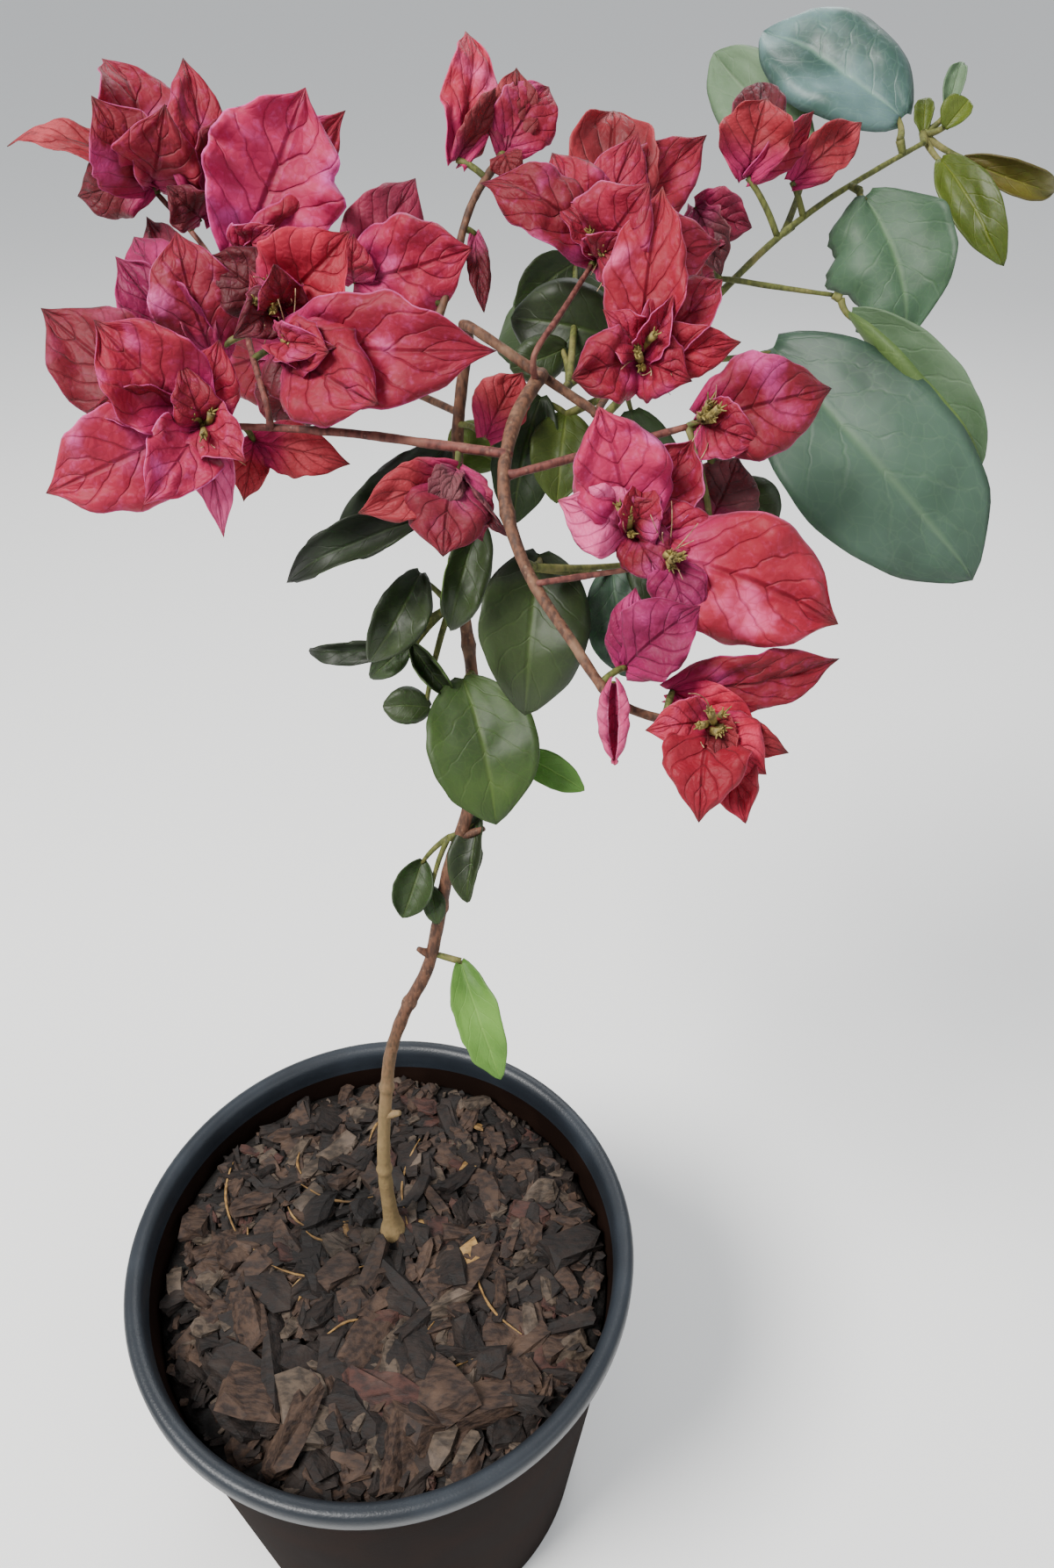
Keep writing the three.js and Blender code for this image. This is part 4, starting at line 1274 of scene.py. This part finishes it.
# %% [markdown]
# The fines are a spun plug whose flat top has many rings. Two sizes of noise make that top rough, and
# it lies a little below the level of the mix, so that the chips stand out of it.

# %% The fines
RINGS, TOP_START, TOP_FACES = 44, 0.144, 0.14
reach = mix_high.x - 0.3 * MM
top_rings = [(reach * i / RINGS, TOP_START) for i in range(RINGS + 1)]
plug = [(reach - 2 * MM, 0.12), (foot - 4 * MM, 3 * MM), (0, 3 * MM)]
fines_mesh = spun(top_rings + plug, 3 * RINGS)
for vert in fines_mesh.verts:
    if vert.co.z > TOP_FACES:
        bed = mix_height(vert.co.x * 0.97, vert.co.y * 0.97)
        grain = noise.noise(vert.co * 110) * 1.6 + noise.noise(vert.co * 420) * 0.9
        vert.co.z = bed + (grain - 1.2) * MM
print("the fines have", len(fines_mesh.faces), "faces")

# %% [markdown]
# Bark chips are streaked along their grain, with pale worn patches. Beside the stem the mix is darker
# all over. That dark place is a distance from one point of the mix, with noise added so that its edge
# isn't a circle.

# %% The look of mulch
stem_foot = min((centre for centre, _ in limbs["stem"]), key=lambda centre: abs(centre.z - mix_top))
# the middle of the darker patch beside the stem
DARK_PATCH = stem_foot + Vector((-16, 2, 0)) * MM
print("the damp hollow is at", [round(value / MM) for value in DARK_PATCH])


def mulch_material(name, body, deep, pale):
    material, shader, flow = new_material(name, Specular_IOR_Level=0.35)
    place = object_place(flow)
    stretched = flow.make("ShaderNodeMapping", None, {"Vector": place, "Scale": (0.5, 1, 1.6)})
    grain = speckle(flow, stretched, 480, 5)
    patch = speckle(flow, place, 85, 3)
    ground = blend_colours(fade(grain, 0.35, 0.65), deep, body)
    ground = blend_colours(fade(patch, 0.5, 0.72) * 0.55, ground, pale)
    away = flow.make("ShaderNodeVectorMath", {"operation": "DISTANCE"}, {0: place, 1: DARK_PATCH}, "Value")
    # darker round one spot beside the stem
    darker = fade(away + (patch - 0.5) * 0.04, 0.036, 0.014)
    ground = blend_colours(darker * 0.6, ground, tuple(0.3 * c for c in deep))
    feed(shader, "Base Color", ground)
    feed(shader, "Roughness", 0.6 + grain * 0.35)
    feed(shader, "Normal", relief(grain, 0.7, 0.0012))
    return material


fines = mulch_material("mulch_fines", hue("140e0b"), hue("080604"), hue("211813"))
piece_from(fines_mesh, "mix_fines", [fines], ["potting_mix"])
chip_looks = [
    mulch_material("mulch_brown", hue("3c2c22"), hue("1f140f"), hue("544134")),
    mulch_material("mulch_dark", hue("1d1410"), hue("0d0806"), hue("302620")),
    mulch_material("mulch_red", hue("3e251f"), hue("22120e"), hue("4f372e")),
    mulch_material("mulch_grey", hue("4b3f34"), hue("2a221b"), hue("63564c")),
    mulch_material("mulch_straw", hue("8a6a3c"), hue("5c4426"), hue("a08458")),
]
LOOK_WEIGHTS = (5, 8, 1, 2, 0.12)
print(len(chip_looks), "looks for the chips")

# %% [markdown]
# Two thousand chips need only a dozen shapes. Each starts as a cube cut once each way, whose corners
# are drawn in and whose vertices are pushed about. Broken bark has sharp edges, so the chips are
# shaded flat.

# %% A dozen chip shapes
def chip_shape(dice):
    bm = bmesh.new()
    bmesh.ops.create_cube(bm, size=1)
    bmesh.ops.subdivide_edges(bm, edges=bm.edges, cuts=1, use_grid_fill=True)
    for vert in bm.verts:
        corner = vert.co.length
        vert.co *= 1 - 0.22 * max(0, corner - 0.6) / 0.27
        vert.co += Vector([dice.uniform(-0.12, 0.12) for _ in range(3)])
    data = bpy.data.meshes.new("chip_shape")
    bm.to_mesh(data)
    bm.free()
    return data


dice = random.Random(41)
chip_shapes = [chip_shape(dice) for _ in range(12)]
print(len(chip_shapes), "chip shapes of", len(chip_shapes[0].polygons), "faces")

# %% [markdown]
# The chips are scattered by the same seeded draw, from crumbs of 2 mm to lumps of nearly 4 cm, and
# lie nearly flat on the mix. The square root spreads them evenly over the disc. Large chips that
# fall at the back or in the middle are moved to the front, and the few lumps are placed there.

# %% Scatter the chips
SIZES = ((900, 2, 5), (900, 5, 11), (260, 11, 19), (34, 19, 27), (9, 28, 38))  # count, from, to
LARGE, LUMP = 18, 27
bm = bmesh.new()
lengths = [dice.uniform(low, high) for count, low, high in SIZES for _ in range(count)]
for length in lengths:
    angle = dice.uniform(0, 2 * math.pi)
    spread = math.sqrt(dice.random()) * (reach - 0.42 * length * MM)
    x, y = spread * math.cos(angle), spread * math.sin(angle)
    if length > LARGE and (y > 10 * MM or math.hypot(x, y) < 20 * MM):
        y = -abs(y)
    if length > LUMP:
        angle = dice.uniform(-2.7, -0.9)
        spread = dice.uniform(0.4, 0.72) * reach
        x, y = spread * math.cos(angle), spread * math.sin(angle)
    broad = length * dice.uniform(0.25, 0.75)
    thick = length * dice.uniform(0.14, 0.34)
    lift = dice.uniform(-0.1, 0.8) * thick * 0.5
    before = len(bm.verts)
    bm.from_mesh(dice.choice(chip_shapes))
    bm.verts.ensure_lookup_table()
    made = bm.verts[before:]
    tilt = Matrix.Rotation(dice.gauss(0, 0.35), 4, "X") @ Matrix.Rotation(dice.gauss(0, 0.25), 4, "Y")
    spin = Matrix.Rotation(dice.uniform(0, 2 * math.pi), 4, "Z")
    size = Matrix.Diagonal((length * MM, broad * MM, thick * MM, 1))
    spot = Matrix.Translation((x, y, mix_height(x, y) + lift * MM))
    bmesh.ops.transform(bm, matrix=spot @ spin @ tilt @ size, verts=made)
    look = dice.choices(range(len(chip_looks)), LOOK_WEIGHTS)[0]
    for face in {face for vert in made for face in vert.link_faces}:
        face.material_index = look
piece_from(bm, "mulch_chips", chip_looks, smooth=False)

# %% [markdown]
# A few straws and thin twigs lie across the chips. Each is a bent skin that follows the bed.

# %% Straws
STRAWS, STRAW_POINTS = 14, 9
ABOVE_BED = 3.2 * MM
bm = bmesh.new()
dice = random.Random(12)
for _ in range(STRAWS):
    angle = dice.uniform(0, 2 * math.pi)
    spread = dice.uniform(20, 66) * MM
    heading = dice.uniform(0, math.pi)
    length = dice.uniform(9, 38) * MM
    line = []
    for i in range(STRAW_POINTS):
        t = i / (STRAW_POINTS - 1) - 0.5
        bow = 0.12 * length * math.cos(math.pi * t)
        x = spread * math.cos(angle) + length * t * math.cos(heading) - bow * math.sin(heading)
        y = spread * math.sin(angle) + length * t * math.sin(heading) + bow * math.cos(heading)
        spot = Vector((x, y, mix_height(x, y) + ABOVE_BED))
        line.append((spot, dice.uniform(0.45, 0.6) * MM * (1 - abs(t))))
    if max(math.hypot(spot.x, spot.y) for spot, _ in line) < reach - 1 * MM:
        skin(bm, line, 6)
piece_from(bm, "mix_straws", [chip_looks[4]])
